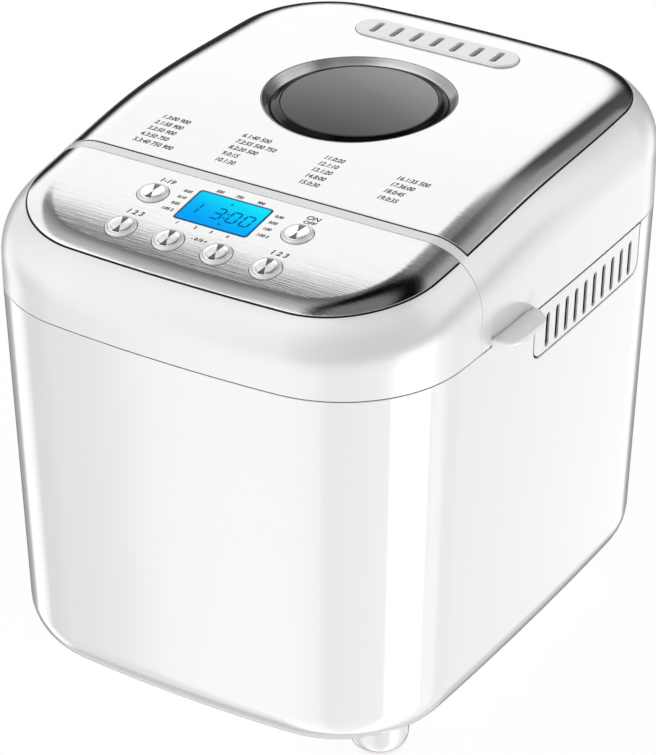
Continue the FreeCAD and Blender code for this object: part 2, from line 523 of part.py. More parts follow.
for sg in (1, -1):
    a, b_ = (85.8, 90.6) if sg > 0 else (-90.6, -85.8)
    pan_ears.append(fuse([box(a, b_, CH_Y - 9, CH_Y + 9, PAN_RIM - 1.0, HZ_PAN), cyl_x(7.0, CH_Y, HZ_PAN, a, b_)]).common(box(-100, 100, CH_Y - 9, CH_Y + 9, 150, HZ_PAN + 5)))
pan = po.multiFuse([rim] + pan_ears).cut(pi_)
pan = cut(pan, [cyl_x(2.58, CH_Y, HZ_PAN, -110, 110), cyl(9.05, 0, CH_Y, 60, 90)]).removeSplitter()
save("bread_pan", pan)
save("pan_base", revolve([(33, 0), (38, 0), (38, 24), (44, 26.3), (33, 26.3)], 0, CH_Y, CH_Z + 1.6))
save("pan_bush", revolve([(4.05, 0), (9.0, 0), (9.0, 5.8), (13.0, 5.8), (13.0, 7.9), (9.0, 7.9), (9.0, 12.0), (4.05, 12.0)], 0, CH_Y, 68.0))
hp = [(86.2, CH_Y, HZ_PAN), (95.0, CH_Y, HZ_PAN), (95.0, CH_Y - 44, HZ_PAN), (-95.0, CH_Y - 44, HZ_PAN), (-95.0, CH_Y, HZ_PAN), (-86.2, CH_Y, HZ_PAN)]
save("pan_handle", tube(hp, [3.6, 12, 12, 3.6], 2.5))
save("pan_shaft", cyl(4.0, 0, CH_Y, 64.2, 102.0))
save("pan_coupling", fuse([cyl(6.5, 0, CH_Y, 63.6, 67.6), box(-3.5, 3.5, CH_Y - 15.5, CH_Y + 15.5, 63.6, 67.6)]).cut(cyl(4.02, 0, CH_Y, 60, 70)))
blade = [V(0, CH_Y - 3.0, 81.0), V(36, CH_Y - 3.0, 81.0), V(40, CH_Y - 3.0, 86.0), V(37, CH_Y - 3.0, 101.0), V(30, CH_Y - 3.0, 105.0), V(8, CH_Y - 3.0, 98.0), V(0, CH_Y - 3.0, 98.0)]
blade.append(blade[0])
bl = Part.Face(Part.makePolygon(blade)).extrude(V(0, 6.0, 0))
paddle = fuse([cyl(9.0, 0, CH_Y, 80.6, 104.0), bl])
paddle = paddle.cut(cyl(4.03, 0, CH_Y, 70, 102.1))
save("kneading_paddle", paddle)

# ---------------------------------------------------------------- lid
lid_region = box(-200, 200, LY0, LY1, ZP + LID_GAP, ZP + 100)
lid = U0.common(lid_region)
tabs, scoops, thick = [], [], []
tab_pts = [V(118, -66, ZP + LID_GAP), V(124.4, -66, ZP + LID_GAP), V(134.2, -55, ZP + LID_GAP), V(134.2, -33, ZP + LID_GAP), V(124.4, -21, ZP + LID_GAP), V(118, -21, ZP + LID_GAP)]
tab_pts.append(tab_pts[0])
tab = Part.Face(Part.makePolygon(tab_pts)).extrude(V(0, 0, 3.4))
tab = tab.makeFillet(6.0, [e for e in tab.Edges if abs(e.Vertexes[0].X - e.Vertexes[1].X) < 1e-6 and abs(e.Vertexes[0].Y - e.Vertexes[1].Y) < 1e-6 and e.Vertexes[0].X > 130])
tk = box(112, 130, -66, -21, ZP + LID_GAP, ZP + 27).common(U0)
sc = Part.makeSphere(160.0, V(283.3, -43.5, ZP + LID_GAP + 3.4)).common(box(90, 200, -90, 0, ZP + LID_GAP + 3.4, ZP + 60))
inner = UI.common(box(-200, 200, LY0 + 2.6, LY1, ZP - 10, ZP + 100))
lid = lid.cut(inner)
lid = lid.multiFuse([tk, mirrored(tk)])
lid = lid.cut(sc).cut(mirrored(sc))
lid = lid.multiFuse([tab, mirrored(tab)])
lugs = []
for sg in (1, -1):
    lugs.append(box(sg * HINGE_X - 7, sg * HINGE_X + 7, 150.8, HINGE_Y, ZP + 1.0, ZP + HINGE_R).fuse(cyl_x(HINGE_R, HINGE_Y, ZP, sg * HINGE_X - 7, sg * HINGE_X + 7)))
lid = lid.multiFuse(lugs)
SCREWS = [(105.5, -50.0), (-105.5, -50.0), (36.0, 135.0), (-36.0, 135.0)]
lb = [cyl(3.9, x, y, ZP + 5.2, ZP + 70).common(US) for x, y in SCREWS]
lid = lid.multiFuse(lb)
lid = cut(lid, [cyl_x(PIN_R + 0.06, HINGE_Y, ZP, s * HINGE_X - 20, s * HINGE_X + 20) for s in (1, -1)] + [cyl(1.55, x, y, ZP, ZP + 16) for x, y in SCREWS])
lid = lid.cut(SKIN.common(plate_prism(-0.2, GAP_Y + 5.5, LY1)))
W_TILT = math.degrees(math.atan((top_z(WINDOW_Y + RING_R) - top_z(WINDOW_Y - RING_R)) / (2 * RING_R)))
W_PL = FreeCAD.Placement(V(WINDOW_X, WINDOW_Y, (top_z(WINDOW_Y + RING_R) + top_z(WINDOW_Y - RING_R)) / 2.0), FreeCAD.Rotation(V(1, 0, 0), W_TILT))
wcyl = lambda r: placed(cyl(r, 0, 0, -12, 12), W_PL)
wrev = lambda prof: placed(revolve(prof, 0, 0, 0), W_PL)
lid = lid.cut(wcyl(48.15))
lid = lid.fuse(wrev([(48.15, 4), (50.4, 4), (50.4, -8.2), (43.5, -8.2), (43.5, -6.7), (48.15, -6.7)]).common(US).common(lid_region))
lid = lid.cut(SKIN.common(plate_prism(-0.2, GAP_Y + 5.5, LY1)))
pill = lambda g, z0, z1: rr(VENT_L + 2 * g, VENT_W + 2 * g, VENT_W / 2.0 + g - 0.05, z0, z1, VENT_X, VENT_Y)
lid = lid.cut(pill(-2.5, ZP + 30, ZP + 90))
lid = lid.removeSplitter()
save("lid_shell", lid)
plate = SKIN.common(plate_prism(0.0, GAP_Y + 5.7, LY1)).cut(wcyl(RING_R)).cut(pill(0.0, ZP + 30, ZP + 90))
save("lid_plate", plate)

# window: conical steel ring, bevelled black bezel, crowned pane
ring = wrev([(RING_R - 0.15, 6.0), (44.3, 6.0), (44.3, -6.6), (48.0, -6.6), (48.0, -1.6), (RING_R - 0.15, -1.6)]).common(U0)
ring = ring.cut(wrev([(RING_R - 0.6, 9.0), (RING_R - 0.6, -0.15), (44.2, -2.85), (0, -2.85), (0, 9.0)]))
ring = ring.cut(lid).cut(plate)
ring = max(ring.Solids, key=lambda q: q.Volume)
save("window_ring", ring)
bez = wrev([(44.1, -6.6), (44.1, -2.9), (43.8, -2.55), (40.1, -0.75), (39.7, -0.68), (39.35, -0.9), (39.35, -4.6), (36.5, -4.6), (36.5, -6.6)])
save("window_bezel", bez)
save("window_glass", wrev([(0, -4.5), (GLASS_R, -4.5), (GLASS_R, -1.1), (GLASS_R - 0.7, -0.7), (32.0, -0.2), (24.0, 0.3), (14.0, 0.7), (0, 0.9)]))
vz = top_z(VENT_Y)
vent = pill(-0.15, vz - 2.4, vz + 1.2).cut(pill(-2.7, vz - 5, vz - 0.8))
vent = vent.fuse(pill(-2.7, vz - 5.0, vz - 0.4).cut(pill(-4.2, vz - 6, vz - 0.8)))
vs = []
for i in range(7):
    x = VENT_X + (i - 3) * VENT_PITCH
    vs.append(rr(3.2, VENT_SLOT, 1.55, vz - 10, vz + 5, x, VENT_Y))
vent = cut(vent, vs).cut(lid).cut(plate)
vent = max(vent.Solids, key=lambda s: s.Volume)
save("vent_cover", vent)

# lid liner with the raised recess over the pan
TUB_Z = ZP + 43.0
flange = prism(15.0, ZP + 4.0, ZP + 5.2).common(box(-200, 200, GAP_Y + 6, 200, ZP, ZP + 20))
tub_o = rr(202, 172, 29, ZP + 4.0, TUB_Z + 1.2, 0, CH_Y)
tub_i = rr(199.6, 169.6, 27.8, ZP - 5, TUB_Z, 0, CH_Y)
liner = fuse([flange, tub_o]).cut(tub_i)
liner = cut(liner, [cyl(36.0, WINDOW_X, WINDOW_Y, ZP + 20, ZP + 80), pill(-5, ZP + 20, ZP + 80).cut(box(-200, 200, -200, 95, ZP, ZP + 100))] + [cyl(1.7, x, y, ZP, ZP + 20) for x, y in SCREWS])
save("lid_liner", liner)
save("liner_glass", cyl(40.0, WINDOW_X, WINDOW_Y, TUB_Z + 1.2, TUB_Z + 4.4))
save("lid_gasket", rr(216, 186, 41, ZP + 0.4, ZP + 4.0, 0, CH_Y).cut(rr(207, 177, 36.5, ZP - 5, ZP + 9, 0, CH_Y)))
save("lid_screws", group([fuse([cyl(2.9, x, y, ZP + 2.4, ZP + 4.0), cyl(1.5, x, y, ZP + 3.0, ZP + 14.0)]) for x, y in SCREWS]))
save("hinge_pins", group([cyl_x(PIN_R, HINGE_Y, ZP, s * HINGE_X - 12.8, s * HINGE_X + 12.8) for s in (1, -1)]))
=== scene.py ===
import bpy, math
import numpy as np
from mathutils import Vector, Matrix
from mathutils.geometry import delaunay_2d_cdt
from mathutils.kdtree import KDTree


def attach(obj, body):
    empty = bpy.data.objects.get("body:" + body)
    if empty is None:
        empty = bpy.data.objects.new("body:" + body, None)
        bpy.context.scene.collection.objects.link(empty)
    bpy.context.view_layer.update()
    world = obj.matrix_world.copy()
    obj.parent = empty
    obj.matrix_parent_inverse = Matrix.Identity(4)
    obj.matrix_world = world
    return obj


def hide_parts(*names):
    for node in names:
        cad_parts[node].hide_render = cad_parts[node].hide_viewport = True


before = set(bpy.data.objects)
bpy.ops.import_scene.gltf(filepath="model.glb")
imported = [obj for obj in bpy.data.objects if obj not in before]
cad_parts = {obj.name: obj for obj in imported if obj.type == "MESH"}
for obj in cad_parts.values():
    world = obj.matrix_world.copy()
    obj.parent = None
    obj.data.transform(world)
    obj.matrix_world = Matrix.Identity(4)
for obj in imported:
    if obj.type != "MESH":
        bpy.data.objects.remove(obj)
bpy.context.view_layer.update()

# ------------------------------------------------------------------ dimensions, mm, the same as the solid model's
HALF_W, HALF_D, BOW_F, BOW_S, CORNER_R = 124.8, 155.7, 9.8, 3.9, 65.8
ZB, BODY_H = 10.0, 200.5
ZP = ZB + BODY_H
TAPER_X, TAPER_Y, BOW_S2, CORNER_R2, BOTTOM_R = 5.9, 6.0, 4.8, 61.8, 23.0
DROP = 0.5
SHOULDER = 30.3
TOP_Y = np.array([-151.0, -114.6, -72.1, -10.4, 62.5, 151.0])
TOP_Z = np.array([34.9, 44.2, 50.9, 59.3, 60.8, 59.9])
GAP_Y = -71.7
HINGE_X, HINGE_Y, HINGE_R = 58.0, 162.0, 6.5
PLATE_IN_S, PLATE_IN_F, PLATE_BOW_F, PLATE_BOW_S, PLATE_R = 11.25, 13.4, 5.35, 6.9, 53.0
WIN_X, WIN_Y, RING_R, GLASS_R = -4.2, 28.8, 48.7, 39.2
VENT_X, VENT_Y, VENT_L, VENT_W = -4.6, 105.0, 94.0, 20.0
LCD_X, LCD_Y, LCD_W, LCD_D = -5.0, -92.2, 41.0, 25.0
BUTTONS = {"button_menu": (-45.1, -92.0), "button_start": (36.1, -92.0),
           "button_weight": (-44.0, -120.4), "button_minus": (-17.3, -120.4),
           "button_plus": (9.6, -120.4), "button_crust": (36.8, -120.4)}
BUTTON_R = 7.8
FEET = [(90.5, -105.5), (-90.5, -105.5), (88.5, 94.0), (-88.5, 94.0)]
GRILLE_Y0, GRILLE_Y1, GRILLE_H = -21.5, 89.3, 28.2
SLOTS, SLOT_PITCH, SLOT_Y0 = 10, 9.6, -7.9
Y_SHIFT = -(HINGE_Y + HINGE_R - HALF_D) / 2.0
LID_GAP = 0.8


def M3(v):
    v = np.asarray(v, float).reshape(-1, 3).copy()
    v[:, 1] += Y_SHIFT
    return v * 0.001


# ------------------------------------------------------------------ arched top
def _natural(xs, ys):
    n = len(xs)
    h = np.diff(xs)
    A = np.eye(n)
    d = np.zeros(n)
    for i in range(1, n - 1):
        A[i, i - 1:i + 2] = h[i - 1], 2 * (h[i - 1] + h[i]), h[i]
        d[i] = 6 * ((ys[i + 1] - ys[i]) / h[i] - (ys[i] - ys[i - 1]) / h[i - 1])
    return np.linalg.solve(A, d), h


_m, _h = _natural(TOP_Y, TOP_Z)


def TS(y):
    y = np.clip(np.asarray(y, float), TOP_Y[0], TOP_Y[-1])
    i = np.clip(np.searchsorted(TOP_Y, y, side="right") - 1, 0, len(_h) - 1)
    a, b, h = TOP_Y[i + 1] - y, y - TOP_Y[i], _h[i]
    return (-_m[i] * a * a + _m[i + 1] * b * b) / (2 * h) + (TOP_Z[i + 1] - TOP_Z[i]) / h - (_m[i + 1] - _m[i]) * h / 6


def T(y):
    y0 = np.asarray(y, float)
    y = np.clip(y0, TOP_Y[0], TOP_Y[-1])
    i = np.clip(np.searchsorted(TOP_Y, y, side="right") - 1, 0, len(_h) - 1)
    a, b, h = TOP_Y[i + 1] - y, y - TOP_Y[i], _h[i]
    z = (_m[i] * a ** 3 + _m[i + 1] * b ** 3) / (6 * h) + (TOP_Z[i] / h - _m[i] * h / 6) * a + (TOP_Z[i + 1] / h - _m[i + 1] * h / 6) * b
    return ZP + z + TS(y) * (y0 - y)


def top_normal(y):
    s = TS(y)
    k = 1 / np.sqrt(1 + s * s)
    return np.stack([np.zeros_like(s), -s * k, k], -1)


# ------------------------------------------------------------------ plan outline of eight tangent arcs
class Outline:
    def __init__(o, a, b, sx, sy, r):
        o.R1, o.R2, o.r = (a * a + sx * sx) / (2 * sx), (b * b + sy * sy) / (2 * sy), r
        o.cf, o.cs = np.array([0.0, -b + o.R1]), np.array([a - o.R2, 0.0])
        d1, d2 = o.R1 - r, o.R2 - r
        dv = o.cs - o.cf
        d = np.hypot(*dv)
        q = (d1 * d1 - d2 * d2 + d * d) / (2 * d)
        h = math.sqrt(d1 * d1 - q * q)
        for s in (1, -1):
            c = o.cf + q * dv / d + s * h * np.array([-dv[1], dv[0]]) / d
            if c[0] > 0 and c[1] < 0:
                o.c = c
        u1, u2 = (o.c - o.cf) / d1, (o.c - o.cs) / d2
        o.a1, o.a2 = math.atan2(u1[1], u1[0]), math.atan2(u2[1], u2[0])

    def loop(o, t, nf, nc, ns):
        """Counter-clockwise loop from the middle of the front; set in by t."""
        A = np.concatenate([np.linspace(-math.pi / 2, o.a1, nf + 1)[:-1], np.linspace(o.a1, o.a2, nc + 1)[:-1], np.linspace(o.a2, 0, ns + 1)])
        C = np.concatenate([np.tile(o.cf, (nf, 1)), np.tile(o.c, (nc, 1)), np.tile(o.cs, (ns + 1, 1))])
        Rr = np.concatenate([np.full(nf, o.R1 - t), np.full(nc, o.r - t), np.full(ns + 1, o.R2 - t)])
        n = np.stack([np.cos(A), np.sin(A)], -1)
        p = C + n * Rr[:, None]
        f = lambda sx, sy: (p * [sx, sy], n * [sx, sy])
        parts = [tuple(x[:-1] for x in f(1, 1)), tuple(x[:0:-1] for x in f(1, -1)), tuple(x[:-1] for x in f(-1, -1)), tuple(x[:0:-1] for x in f(-1, 1))]
        return np.concatenate([q[0] for q in parts]), np.concatenate([q[1] for q in parts])

    def depth(o, x, y):
        """Distance inside the outline."""
        x, y = np.abs(x), -np.abs(y)
        ang = np.arctan2(y - o.c[1], x - o.c[0])
        ang = np.where(ang > math.pi / 2 + 1.2, ang - 2 * math.pi, ang)
        dc = o.r - np.hypot(x - o.c[0], y - o.c[1])
        df = o.R1 - np.hypot(x - o.cf[0], y - o.cf[1])
        ds = o.R2 - np.hypot(x - o.cs[0], y - o.cs[1])
        return np.where(ang < o.a1, df, np.where(ang > o.a2, np.minimum(ds, df), dc))


NF, NC, NS = 26, 46, 88
MAIN = Outline(HALF_W, HALF_D, BOW_F, BOW_S, CORNER_R)
FOOTO = Outline(HALF_W - TAPER_X, HALF_D - TAPER_Y, BOW_F, BOW_S2, CORNER_R2)
PLATEO = Outline(HALF_W - PLATE_IN_S, HALF_D - PLATE_IN_F, PLATE_BOW_F, PLATE_BOW_S, PLATE_R)
P0, N0 = MAIN.loop(0, NF, NC, NS)
PF, NFt = FOOTO.loop(0, NF, NC, NS)
NCOL = len(P0)


# ------------------------------------------------------------------ meshes with exact normals
class Sheet:
    def __init__(s, v, n, f, g=None):
        s.v, s.n, s.f = np.asarray(v, float), np.asarray(n, float), f
        s.g = [0] * len(f) if g is None else g


def unit(a):
    return a / np.maximum(np.linalg.norm(a, axis=-1, keepdims=True), 1e-12)


def grid(P, Nn, wrap=False):
    """P[i][j]: i along the outline, j upwards; faces look out along the normals."""
    nu, nv = P.shape[:2]
    f = []
    for i in range(nu if wrap else nu - 1):
        k = (i + 1) % nu
        for j in range(nv - 1):
            f.append((i * nv + j, k * nv + j, k * nv + j + 1, i * nv + j + 1))
    return Sheet(P.reshape(-1, 3), Nn.reshape(-1, 3), f)


def join(*ss):
    v, n, f, g, k = [], [], [], [], 0
    for q, s in enumerate(ss):
        v.append(s.v); n.append(s.n)
        f += [tuple(i + k for i in p) for p in s.f]
        g += [q] * len(s.f)
        k += len(s.v)
    return Sheet(np.concatenate(v), np.concatenate(n), f, g)


def weld(s, eps=2e-3):
    q = np.round(s.v / eps).astype(np.int64)
    _, first, inv = np.unique(q, axis=0, return_index=True, return_inverse=True)
    inv = inv.reshape(-1)
    f, g = [], []
    for p, gg in zip(s.f, s.g):
        r = []
        for i in p:
            w = int(inv[i])
            if w not in r:
                r.append(w)
        if len(r) > 2:
            f.append(tuple(r)); g.append(gg)
    return Sheet(s.v[first], s.n[first], f, g)


def clip(s, axis, at, keep, room=0.0, only=None):
    """Keep the side of a plane across an axis; keep is +1 or -1. Points nearer than room to the cut are moved off it. only: the group of faces that is cut."""
    d = (s.v[:, axis] - at) * keep
    d[np.abs(d) < 1e-7] = 0.0
    v, n = list(s.v), list(s.n)
    new, f, g = {}, [], []
    order = sorted(range(len(s.f)), key=lambda k: only is not None and s.g[k] != only)
    touched = set()
    for k in order:
        p, gg = s.f[k], s.g[k]
        if only is not None and gg != only:
            r = []
            for a in range(len(p)):
                i, j = p[a], p[(a + 1) % len(p)]
                r.append(i)
                if (min(i, j), max(i, j)) in new:
                    r.append(new[(min(i, j), max(i, j))])
            f.append(tuple(r)); g.append(gg)
            continue
        dd = [d[i] for i in p]
        if min(dd) >= 0:
            f.append(p); g.append(gg); touched.update(p)
        elif max(dd) > 0:
            r = []
            for a in range(len(p)):
                i, j = p[a], p[(a + 1) % len(p)]
                if d[i] >= 0:
                    r.append(i); touched.add(i)
                if (d[i] > 0 > d[j]) or (d[i] < 0 < d[j]):
                    key = (min(i, j), max(i, j))
                    if key not in new:
                        t = d[i] / (d[i] - d[j])
                        new[key] = len(v)
                        v.append(s.v[i] * (1 - t) + s.v[j] * t)
                        n.append(s.n[i] * (1 - t) + s.n[j] * t)
                    r.append(new[key])
            if len(r) > 2:
                f.append(tuple(r)); g.append(gg)
    v, n = np.array(v), unit(np.array(n))
    if room:
        near = [i for i in np.where((d > 0) & (d < room))[0] if i in touched]
        e = np.zeros(3); e[axis] = keep
        for i in near:
            t = e - n[i] * n[i].dot(e)
            if t[axis] * keep > 0.3:
                v[i] += t / (t[axis] * keep) * (room - d[i])
    return drop(Sheet(v, n, f, g))


def drop(s):
    used = sorted({i for p in s.f for i in p})
    m = {u: k for k, u in enumerate(used)}
    return Sheet(s.v[used], s.n[used], [tuple(m[i] for i in p) for p in s.f], s.g)


def mirror(s, sgn=(-1, 1, 1)):
    return Sheet(s.v * sgn, s.n * sgn, [tuple(reversed(p)) for p in s.f], s.g)


def loops_of(s):
    E = {}
    for p in s.f:
        for a in range(len(p)):
            E[(p[a], p[(a + 1) % len(p)])] = 1
    nxt = {}
    for a, b in E:
        if (b, a) not in E:
            nxt.setdefault(a, []).append(b)
    loops, seen = [], set()
    for a in list(nxt):
        if a in seen:
            continue
        L, c = [], a
        while c not in seen and c in nxt:
            seen.add(c); L.append(c)
            c = nxt[c][0]
        if len(L) > 2:
            loops.append(L)
    return sorted(loops, key=len, reverse=True)


class Body:
    """Gathers faces with a normal at each corner."""
    def __init__(b):
        b.v, b.f, b.n, b.m = [], [], [], []

    def add(b, verts, faces, normals, mat=0):
        k = len(b.v)
        b.v += [tuple(x) for x in verts]
        for p, q in zip(faces, normals):
            b.f.append(tuple(i + k for i in p)); b.n += [tuple(x) for x in q]; b.m.append(mat)
        return b

    def sheet(b, s, mat=0):
        return b.add(s.v, s.f, [[s.n[i] for i in p] for p in s.f], mat)


def solid(b, s, t, rho=0.4, seg=3, mat=0, rim_mat=None, inner_mat=None, closed=True):
    """The sheet as a wall t thick with its rims rounded to rho, which may be a function of (loop number, loop's points)."""
    s = Sheet(s.v.copy(), s.n.copy(), s.f)
    loops = loops_of(s)
    V = [*s.v]
    inner = s.v - s.n * t
    faces, norms, mats = [], [], []
    rim_mat = mat if rim_mat is None else rim_mat
    inner_mat = rim_mat if inner_mat is None else inner_mat
    rims = []
    for li, L in enumerate(loops):
        Pn = s.v[L]
        r = rho(li, Pn) if callable(rho) else rho
        nn = s.n[L]
        e1 = unit(np.roll(Pn, -1, 0) - Pn)
        e0 = np.roll(e1, 1, 0)
        d1, d0 = unit(np.cross(e1, nn)), unit(np.cross(e0, nn))
        d = unit(d0 + d1)
        mit = 1 / np.clip((d * d1).sum(1), 0.45, 1)
        base = Pn - d * (r * mit)[:, None]
        rows, rown = [base], [nn]
        for k in range(1, seg + 1):
            th = math.pi / 2 * k / seg
            rows.append(base + d * (r * mit * math.sin(th))[:, None] - nn * (r * (1 - math.cos(th))))
            rown.append(unit(nn * math.cos(th) + d * math.sin(th)))
        rows.append(base + d * (r * mit)[:, None] - nn * max(t, r * 1.02))
        rown.append(d)
        for a, i in enumerate(L):
            V[i] = base[a]
            inner[i] = rows[-1][a]
        rims.append((L, rows, rown))
    k0 = len(V)
    idx_inner = None
    if closed:
        V += [*inner]
    for p in s.f:
        faces.append(p); norms.append([s.n[i] for i in p]); mats.append(mat)
    if closed:
        for p in s.f:
            q = tuple(reversed(p))
            faces.append(tuple(i + k0 for i in q)); norms.append([-s.n[i] for i in q]); mats.append(inner_mat)
    for L, rows, rown in rims:
        ids = [L]
        for row in rows[1:-1]:
            ids.append(list(range(len(V), len(V) + len(L))))
            V += [*row]
        if closed:
            ids.append([i + k0 for i in L])
        else:
            ids.append(list(range(len(V), len(V) + len(L))))
            V += [*rows[-1]]
        n = len(L)
        for k in range(len(ids) - 1):
            for a in range(n):
                c = (a + 1) % n
                faces.append((ids[k][c], ids[k][a], ids[k + 1][a], ids[k + 1][c]))
                norms.append([rown[k][c], rown[k][a], rown[k + 1][a], rown[k + 1][c]]); mats.append(rim_mat)
    kk = len(b.v)
    b.v += [tuple(x) for x in V]
    for p, q, m in zip(faces, norms, mats):
        b.f.append(tuple(i + kk for i in p)); b.n += [tuple(x) for x in q]; b.m.append(m)
    return b


def make(name, b, mats, body, replaces=(), uv=None, local=None):
    """A mesh object from gathered faces. local is a 4x4 matrix (mm, model frame) for meshes given in their own frame."""
    me = bpy.data.meshes.new(name)
    v = np.array(b.v, float) * 0.001 if local is not None else M3(b.v)
    me.from_pydata([tuple(x) for x in v], [], b.f)
    for m in (mats if isinstance(mats, (list, tuple)) else [mats]):
        me.materials.append(m)
    me.polygons.foreach_set("material_index", b.m)
    me.polygons.foreach_set("use_smooth", [True] * len(me.polygons))
    me.normals_split_custom_set([Vector(x).normalized() for x in b.n])
    if uv:
        lay = me.uv_layers.new(name="brush")
        co = np.array([uv(b.v[i]) for p in b.f for i in p], float)
        lay.data.foreach_set("uv", co.ravel())
    ob = bpy.data.objects.new(name, me)
    bpy.context.scene.collection.objects.link(ob)
    if local is not None:
        W = local.copy()
        W.translation = Vector(M3([tuple(local.translation)])[0])
        ob.matrix_world = W
    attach(ob, body)
    if replaces:
        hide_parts(*replaces)
    return ob


def in_poly(P, L):
    x, y = P[:, 0], P[:, 1]
    r = np.zeros(len(P), bool)
    x0, y0 = L[:, 0], L[:, 1]
    x1, y1 = np.roll(x0, -1), np.roll(y0, -1)
    for a, b, c, d in zip(x0, y0, x1, y1):
        if b == d:
            continue
        m = ((b > y) != (d > y)) & (x < (c - a) * (y - b) / (d - b) + a)
        r ^= m
    return r


def fill(outer, holes, step, margin=0.62, lines=()):
    """Triangles of a plane region with holes and an even net of points inside. Returns points and faces, counter-clockwise."""
    outer = np.asarray(outer, float)
    lo, hi = outer.min(0), outer.max(0)
    gx, gy = np.arange(lo[0] + step / 2, hi[0], step), np.arange(lo[1] + step / 2, hi[1], step)
    G = np.stack(np.meshgrid(gx, gy), -1).reshape(-1, 2)
    ok = in_poly(G, outer)
    for h in holes:
        ok &= ~in_poly(G, np.asarray(h))
    G = G[ok]
    allb = np.concatenate([outer] + [np.asarray(h, float) for h in holes])
    kd = KDTree(len(allb))
    for i, p in enumerate(allb):
        kd.insert((p[0], p[1], 0), i)
    kd.balance()
    G = np.array([g for g in G if kd.find((g[0], g[1], 0))[2] > step * margin]).reshape(-1, 2)
    V, E, k = [], [], 0
    for L in [outer] + [np.asarray(h, float) for h in holes]:
        V += [Vector(p) for p in L]
        E += [(k + i, k + (i + 1) % len(L)) for i in range(len(L))]
        k += len(L)
    V += [Vector(p) for p in G]
    ov, oe, of, *_ = delaunay_2d_cdt(V, E, [], 1, 1e-6)
    P = np.array([tuple(p) for p in ov])
    mid = np.array([P[list(t)].mean(0) for t in of])
    keep = in_poly(mid, outer)
    for h in holes:
        keep &= ~in_poly(mid, np.asarray(h, float))
    F = []
    for t, ok in zip(of, keep):
        if not ok:
            continue
        a, b, c = (P[i] for i in t[:3])
        ar = (b[0] - a[0]) * (c[1] - a[1]) - (b[1] - a[1]) * (c[0] - a[0])
        F.append(tuple(t) if ar > 0 else tuple(reversed(t)))
    return P, F


def circle(x, y, r, n=64, a0=0.0):
    a = np.arange(n) * 2 * math.pi / n + a0
    return np.stack([x + r * np.cos(a), y + r * np.sin(a)], -1)


def rrect(x, y, w, d, r, n=8):
    pts = []
    for cx, cy, a0 in ((w / 2 - r, -d / 2 + r, -90), (w / 2 - r, d / 2 - r, 0), (-w / 2 + r, d / 2 - r, 90), (-w / 2 + r, -d / 2 + r, 180)):
        for k in range(n + 1):
            a = math.radians(a0 + 90 * k / n)
            pts.append((x + cx + r * math.cos(a), y + cy + r * math.sin(a)))
    return np.array(pts)


def dense(L, step):
    """More points along a closed line."""
    out = []
    for i in range(len(L)):
        a, b = L[i], L[(i + 1) % len(L)]
        k = max(1, int(math.ceil(np.hypot(*(b - a)) / step)))
        out += [a + (b - a) * j / k for j in range(k)]
    return np.array(out)


def lathe(b, prof, n=96, mat=0, sharp=40.0, closed=False):
    """Turned piece about local Z. prof is [(r, z), ...] going so that its outside lies on the right; normals are smooth where the turn is under sharp degrees."""
    prof = np.array(prof, float)
    prof = prof[np.r_[True, np.hypot(*np.diff(prof, axis=0).T) > 1e-7]]
    m = len(prof)
    seg = np.diff(prof, axis=0)
    sn = unit(np.stack([seg[:, 1], -seg[:, 0]], -1))
    A = np.arange(n) * 2 * math.pi / n
    V = np.stack([np.outer(np.cos(A), prof[:, 0]), np.outer(np.sin(A), prof[:, 0]), np.tile(prof[:, 1], (n, 1))], -1)
    verts, ids = [], np.zeros((n, m), int)
    for j in range(m):
        if prof[j, 0] < 1e-9:
            ids[:, j] = len(verts); verts.append((0, 0, prof[j, 1]))
        else:
            for i in range(n):
                ids[i, j] = len(verts); verts.append(tuple(V[i, j]))

    def nrm(k, j):
        a = sn[k]
        if j == k and k > 0 and a.dot(sn[k - 1]) > math.cos(math.radians(sharp)):
            a = a + sn[k - 1]
        if j == k + 1 and k + 1 < m - 1 and a.dot(sn[k + 1]) > math.cos(math.radians(sharp)):
            a = a + sn[k + 1]
        return a / np.hypot(*a)
    F, Nn = [], []
    for k in range(m - 1):
        n0, n1 = nrm(k, k), nrm(k, k + 1)
        for i in range(n):
            c = (i + 1) % n
            q, w = [], []
            for ii, jj, nv in ((i, k, n0), (c, k, n0), (c, k + 1, n1), (i, k + 1, n1)):
                if ids[ii, jj] not in q:
                    q.append(ids[ii, jj]); w.append((math.cos(A[ii]) * nv[0], math.sin(A[ii]) * nv[0], nv[1]))
            if len(q) > 2:
                F.append(tuple(q)); Nn.append(w)
    return b.add(verts, F, Nn, mat)


def arc(cx, cz, r, a0, a1, n=6):
    return [(cx + r * math.cos(math.radians(a0 + (a1 - a0) * k / n)), cz + r * math.sin(math.radians(a0 + (a1 - a0) * k / n))) for k in range(n + 1)]


def frame_at(x, y, dz=0.0):
    a = math.atan(float(TS(y)))
    R = Matrix.Rotation(a, 4, "X")
    n = R @ Vector((0, 0, 1))
    R.translation = Vector((x, y, float(T(y)))) + n * dz
    return R


# ------------------------------------------------------------------ materials
def new_mat(name):
    m = bpy.data.materials.new(name)
    m.use_nodes = True
    return m, m.node_tree, m.node_tree.nodes["Principled BSDF"]


def nd(nt, kind, **kw):
    n = nt.nodes.new(kind)
    for k, v in kw.items():
        setattr(n, k, v)
    return n


